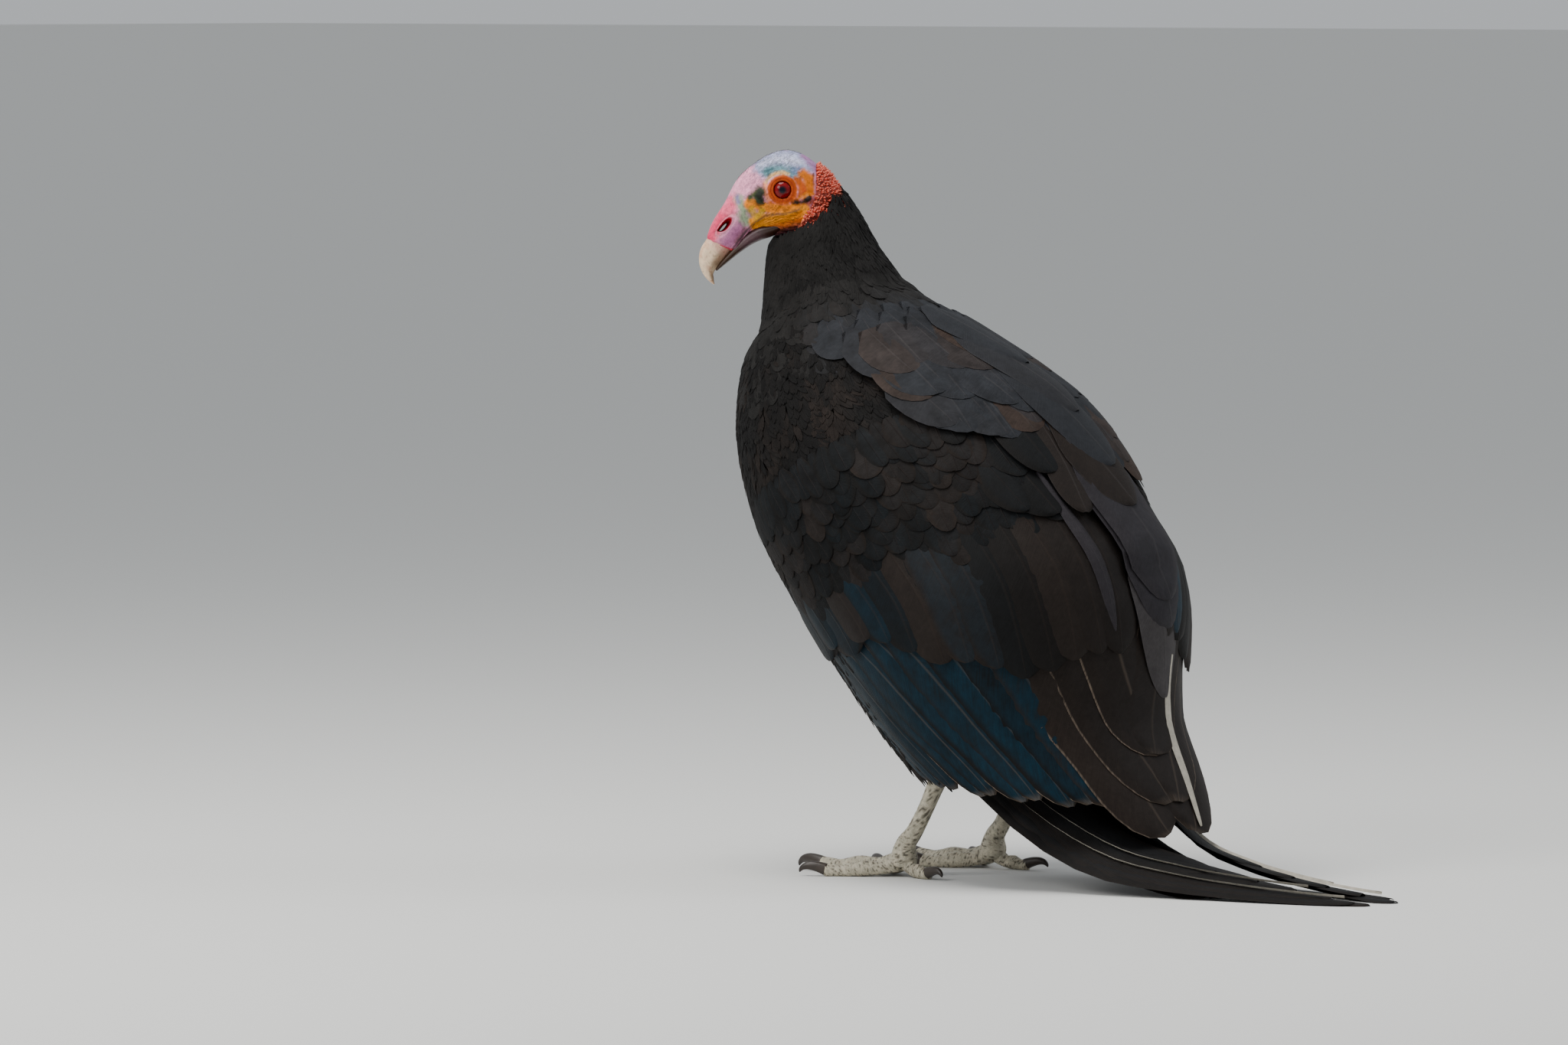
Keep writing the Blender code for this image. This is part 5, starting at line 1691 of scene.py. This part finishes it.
def bristles(skin_obj, material):
    """Fine dark bristles over the crown and the lores."""
    mesh = skin_obj.data
    points, normals = corners_of(mesh), corners_of(mesh, "normal")
    f, u, x = to_head(points).T
    dice = np.random.default_rng(looks().dice_seed + 40)
    crown = ramp(u, 8, 14) * ramp(-f, -24, -8) * (np.abs(x) < 16) * (f > -24)
    lores = bump_at(np.hypot((f - 14) / 1.5, u - 2), 5) * 0.8
    brow = bump_at(away_from(((4, 12), (-6, 9), (-11, 2)), f, u), 2.5)
    over_eye = bump_at(away_from(((8, 13.5), (0, 15), (-8, 12), (-12, 6)), f, u), 3.0)
    chance = np.clip(crown * 0.20 + over_eye * 0.8 + lores * 0.6 + brow, 0, 1)
    chance *= (np.abs(x) < 18) * (np.hypot(f, u) > 8.2)
    chance *= 1 - coral_share(f, u, points)
    order = dice.permutation(np.flatnonzero((chance > 0.05) & (f > -25) & (f < 30) & (u > -6)))
    taken, chosen = set(), []
    for i in order:
        cell = tuple(np.floor(points[i] / 0.0010).astype(int))
        if cell not in taken and dice.random() < chance[i]:
            taken.add(cell)
            chosen.append(i)
    faces, share, angle = small_ball(4, 3)
    blobs = []
    for i in chosen:
        back = -HEAD_AXES[0] - normals[i] * np.dot(-HEAD_AXES[0], normals[i])
        way = unit(unit(back) + normals[i] * 0.22 + dice.normal(0, 0.14, 3))
        length = 0.0012 + 0.0012 * dice.random()
        side = unit(np.cross(way, normals[i]))
        radius = 0.00005 * np.sin(pi * share) ** 0.7
        blobs.append(blob(points[i], way, side, share * length - 0.0003, radius, angle))
    obj = joined_blobs("head_bristles", blobs, faces, material)
    mesh = obj.data
    roots = to_head(points[chosen])
    turn = np.arctan2(roots[:, 2], roots[:, 1] + 4) / (2 * pi) * 0.9 + 0.5
    along = (roots[:, 0] + 30) / 70
    layer = mesh.uv_layers.new(name="OFBake")
    loops = np.empty(len(mesh.loops), np.int32)
    mesh.loops.foreach_get("vertex_index", loops)
    spots = np.repeat(np.stack((along, turn), 1), len(share), 0)
    spots[:, 0] += np.tile((share - 0.5) * PATCH, len(chosen))
    spots[:, 1] += np.tile(np.cos(angle) * 0.5 * PATCH, len(chosen))
    layer.uv.foreach_set("vector", np.clip(spots, 0.001, 0.999)[loops].astype(np.float32).ravel())
    return obj


def plain_material(name, shade, roughness):
    material, tree, shader = new_finish(name)
    cloud = grain(tree, own_place(tree), 300.0, 2.0)
    paint = blend(tree, cloud, (*(display(shade) * 0.6), 1), (*display(shade), 1))
    fill(tree, shader, {"Base Color": paint, "Roughness": roughness})
    return material


# Stage

CAMERA_TURN = radians(42)  # from +X towards +Y
CAMERA_RISE = radians(3)
CAMERA_AWAY = 6.0
FRAME_WIDTH = 0.8806  # metres across the view at the bird
SENSOR = 36.0
VIEW_SIDE, VIEW_UP = -0.0972, 0.1969  # the view's middle from the middle of the bird's floor, across and up
FLOOR_REACH = 60.0
BIRD_SHIFT = -0.07535  # the hips' place along Y


WORLD_COLOUR, WORLD_STRENGTH = (0.80, 0.83, 0.86, 1), 0.62
LAMP_AIM = Vector((0, 0, 0.2))
# Lamps: name, place, size, power, colour
LAMPS = (
    ("overhead", (0.5, -0.3, 2.2), 1.4, 46, (1.0, 0.98, 0.95)),
    ("front_left", (1.9, -0.2, 1.3), 1.0, 18, (1.0, 0.99, 0.97)),
    ("behind", (-1.4, 1.3, 1.4), 1.2, 10, (0.95, 0.97, 1.0)),
)


def turned_back(obj, place, away):
    """Puts a lamp or camera at a place, with its back in the direction away."""
    obj.location, obj.rotation_euler = place, away.to_track_quat("Z", "Y").to_euler()
    return obj


def stage():
    across = Vector((-sin(CAMERA_TURN), cos(CAMERA_TURN), 0))
    level = cos(CAMERA_RISE)
    away = Vector((cos(CAMERA_TURN) * level, sin(CAMERA_TURN) * level, sin(CAMERA_RISE)))
    upward = away.cross(across)
    aim = across * VIEW_SIDE + upward * VIEW_UP + Vector((0, BIRD_SHIFT, 0))
    camera = bpy.data.cameras.new("camera")
    camera.sensor_width, camera.clip_end = SENSOR, 200
    camera.lens = SENSOR * CAMERA_AWAY / FRAME_WIDTH
    bpy.context.scene.camera = turned_back(linked("camera", camera), aim + away * CAMERA_AWAY, away)

    bm = bmesh.new()
    bmesh.ops.create_grid(bm, x_segments=1, y_segments=1, size=FLOOR_REACH)
    pale, tree, shader = new_finish("floor_paint")
    fill(tree, shader, {"Base Color": (0.72, 0.72, 0.70, 1), "Roughness": 0.8})
    to_object("floor", bm, pale)

    for name, place, size, power, tint in LAMPS:
        lamp = bpy.data.lights.new(name, "AREA")
        lamp.shape, lamp.size, lamp.energy, lamp.color = "DISK", size, power, tint
        turned_back(linked(name, lamp), place, Vector(place) - LAMP_AIM)
    world = bpy.data.worlds.new("studio")
    world.use_nodes = True
    fill(world.node_tree, world.node_tree.nodes["Background"].inputs, {0: WORLD_COLOUR, 1: WORLD_STRENGTH})
    bpy.context.scene.world = world


# What the steps below share


@lru_cache(maxsize=None)
def outer_sheet():
    parts = ("wing_coverts", "wing_secondaries", "scapulars")
    wings = tuple(f"{side}_{part}" for side, _ in SIDES for part in parts)
    return sheet_over(TRUNK_NODES + wings, SPINE, bridge=True)


@lru_cache(maxsize=None)
def trunk_sheet():
    return sheet_over(TRUNK_NODES, SPINE)


@lru_cache(maxsize=None)
def throat_sheet():
    return sheet_over(TRUNK_NODES, THROAT_SPINE)


# Finishes: what makes each one, and its values
FINISHES = {
    "soft_feathers": (feather_material, 42.0, 0.9, 0.12, 0.6),
    "long_feathers": (feather_material, 150.0, 0.35, 0.0, 0.35),
    "bare_skin": (skin_material,),
    "eye_glass": (eye_material,),
    "horn": (horn_material, 0.30),
    "bristle": (plain_material, (40, 38, 44), 0.5),
}


def finish_of(name):
    make, *values = FINISHES[name]
    return bpy.data.materials.get(name) or make(name, *values)


def placed(obj, slot, *nodes):
    """Puts a finished piece in place: it rides on the only body and stands for its solids."""
    if not obj.data.polygons:
        raise RuntimeError(f"{obj.name} has no faces")
    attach(obj, "root")
    if nodes:
        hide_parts(*nodes)


# One step for each piece or group of like pieces


class Step:
    """What all steps share; each one's make builds its pieces."""

    bl_options = {"REGISTER", "UNDO"}

    def execute(self, context):
        self.make()
        return {"FINISHED"}


class VULTURE_OT_skin(Step, bpy.types.Operator):
    """Make the skin of the head, body and legs in one piece"""

    bl_idname, bl_label = "vulture.skin", "Skin"

    def make(self):
        legs = [f"{side}_{part}" for side, _ in SIDES
                for part in ("thigh", "shank", *(f"toe_{row[0]}" for row in TOES))]
        placed(skin(finish_of("bare_skin")), "head_skin", "head", *TRUNK_NODES, *legs)


class VULTURE_OT_coral_tips(Step, bpy.types.Operator):
    """Grow the fleshy tips round the back of the head"""

    bl_idname, bl_label = "vulture.coral_tips", "Coral tips"

    def make(self):
        placed(coral_tips(bpy.data.objects["skin"], finish_of("bare_skin")), "head_skin")


class VULTURE_OT_bristles(Step, bpy.types.Operator):
    """Grow the fine bristles of the crown and the lores"""

    bl_idname, bl_label = "vulture.bristles", "Bristles"

    def make(self):
        placed(bristles(bpy.data.objects["skin"], finish_of("bristle")), "plumage")


class VULTURE_OT_bill(Step, bpy.types.Operator):
    """Make the horn of the upper and the lower bill"""

    bl_idname, bl_label = "vulture.bill", "Bill"

    def make(self):
        placed(upper_bill(finish_of("horn")), "bill_horn", "upper_bill")
        placed(lower_bill(finish_of("horn")), "bill_horn", "lower_bill")


class VULTURE_OT_eyes(Step, bpy.types.Operator):
    """Make both eyeballs"""

    bl_idname, bl_label = "vulture.eyes", "Eyes"

    def make(self):
        for side, sign in SIDES:
            placed(eyeball(finish_of("eye_glass"), f"{side}_eyeball", sign), "eye", f"{side}_eye")


class VULTURE_OT_claws(Step, bpy.types.Operator):
    """Make the eight claws"""

    bl_idname, bl_label = "vulture.claws", "Claws"

    def make(self):
        for side, sign in SIDES:
            for row in TOES:
                placed(claw(finish_of("horn"), side, sign, *row), "claw_horn", f"{side}_claw_{row[0]}")


class VULTURE_OT_neck_feathers(Step, bpy.types.Operator):
    """Lay the short feathers of the neck and the ruff below them"""

    bl_idname, bl_label = "vulture.neck_feathers", "Neck and ruff"

    def make(self):
        soft = finish_of("soft_feathers")
        placed(short_neck_feathers(outer_sheet(), throat_sheet(), soft), "plumage")
        placed(ruff_feathers(outer_sheet(), soft), "plumage")


class VULTURE_OT_breast_feathers(Step, bpy.types.Operator):
    """Lay the feathers of the breast, the belly and the rump"""

    bl_idname, bl_label = "vulture.breast_feathers", "Breast and belly"

    def make(self):
        placed(breast_feathers(trunk_sheet(), finish_of("soft_feathers")), "plumage")


class VULTURE_OT_mantle(Step, bpy.types.Operator):
    """Lay the broad feathers of the upper back"""

    bl_idname, bl_label = "vulture.mantle", "Mantle"

    def make(self):
        for side, sign in SIDES:
            made = mantle_feathers(outer_sheet(), finish_of("soft_feathers"), f"{side}_mantle_feathers", sign)
            placed(made, "plumage", f"{side}_scapulars")


class VULTURE_OT_coverts(Step, bpy.types.Operator):
    """Lay the small and middle feathers of the folded wings"""

    bl_idname, bl_label = "vulture.coverts", "Wing coverts"

    def make(self):
        for side, sign in SIDES:
            made = covert_feathers(outer_sheet(), finish_of("soft_feathers"), f"{side}_covert_feathers", sign)
            placed(made, "plumage", f"{side}_wing_coverts")


class VULTURE_OT_wings(Step, bpy.types.Operator):
    """Lay the long feathers of the folded wings and of the lower back"""

    bl_idname, bl_label = "vulture.wings", "Long wing feathers"

    def make(self):
        long = finish_of("long_feathers")
        for side, sign in SIDES:
            placed(wing_feathers(outer_sheet(), long, f"{side}_wing_feathers", sign), "flight_feathers",
                   f"{side}_wing_secondaries")
            placed(hand_feathers(long, f"{side}_hand_feathers", sign), "flight_feathers",
                   f"{side}_wing_primaries")
        placed(back_feathers(outer_sheet(), long), "flight_feathers")


class VULTURE_OT_tail(Step, bpy.types.Operator):
    """Lay the tail feathers"""

    bl_idname, bl_label = "vulture.tail", "Tail"

    def make(self):
        placed(tail_feathers(finish_of("long_feathers")), "flight_feathers", "tail")


class VULTURE_OT_stage(Step, bpy.types.Operator):
    """Set the floor, the lamps and the camera"""

    bl_idname, bl_label = "vulture.stage", "Stage"

    def make(self):
        stage()


STEPS = (VULTURE_OT_skin, VULTURE_OT_coral_tips, VULTURE_OT_bristles, VULTURE_OT_bill, VULTURE_OT_eyes,
         VULTURE_OT_claws, VULTURE_OT_neck_feathers, VULTURE_OT_breast_feathers, VULTURE_OT_mantle,
         VULTURE_OT_coverts, VULTURE_OT_wings, VULTURE_OT_tail, VULTURE_OT_stage)


class VULTURE_PT_looks(bpy.types.Panel):
    """The bird's sizes and colours, and a button for each step"""

    bl_idname = "VULTURE_PT_looks"
    bl_label = "Standing vulture"
    bl_space_type = "VIEW_3D"
    bl_region_type = "UI"
    bl_category = "Vulture"

    def draw(self, context):
        for name in VultureLooks.__annotations__:
            self.layout.prop(context.scene.vulture_looks, name)
        for step in STEPS:
            self.layout.operator(step.bl_idname)


CLASSES = (VultureLooks, *STEPS, VULTURE_PT_looks)


def register():
    for item in CLASSES:
        bpy.utils.register_class(item)
    bpy.types.Scene.vulture_looks = PointerProperty(type=VultureLooks)


def unregister():
    del bpy.types.Scene.vulture_looks
    for item in reversed(CLASSES):
        bpy.utils.unregister_class(item)


def main():
    register()
    for step in STEPS:
        getattr(bpy.ops.vulture, step.bl_idname.split(".")[1])()
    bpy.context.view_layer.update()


if __name__ == "__main__":
    main()
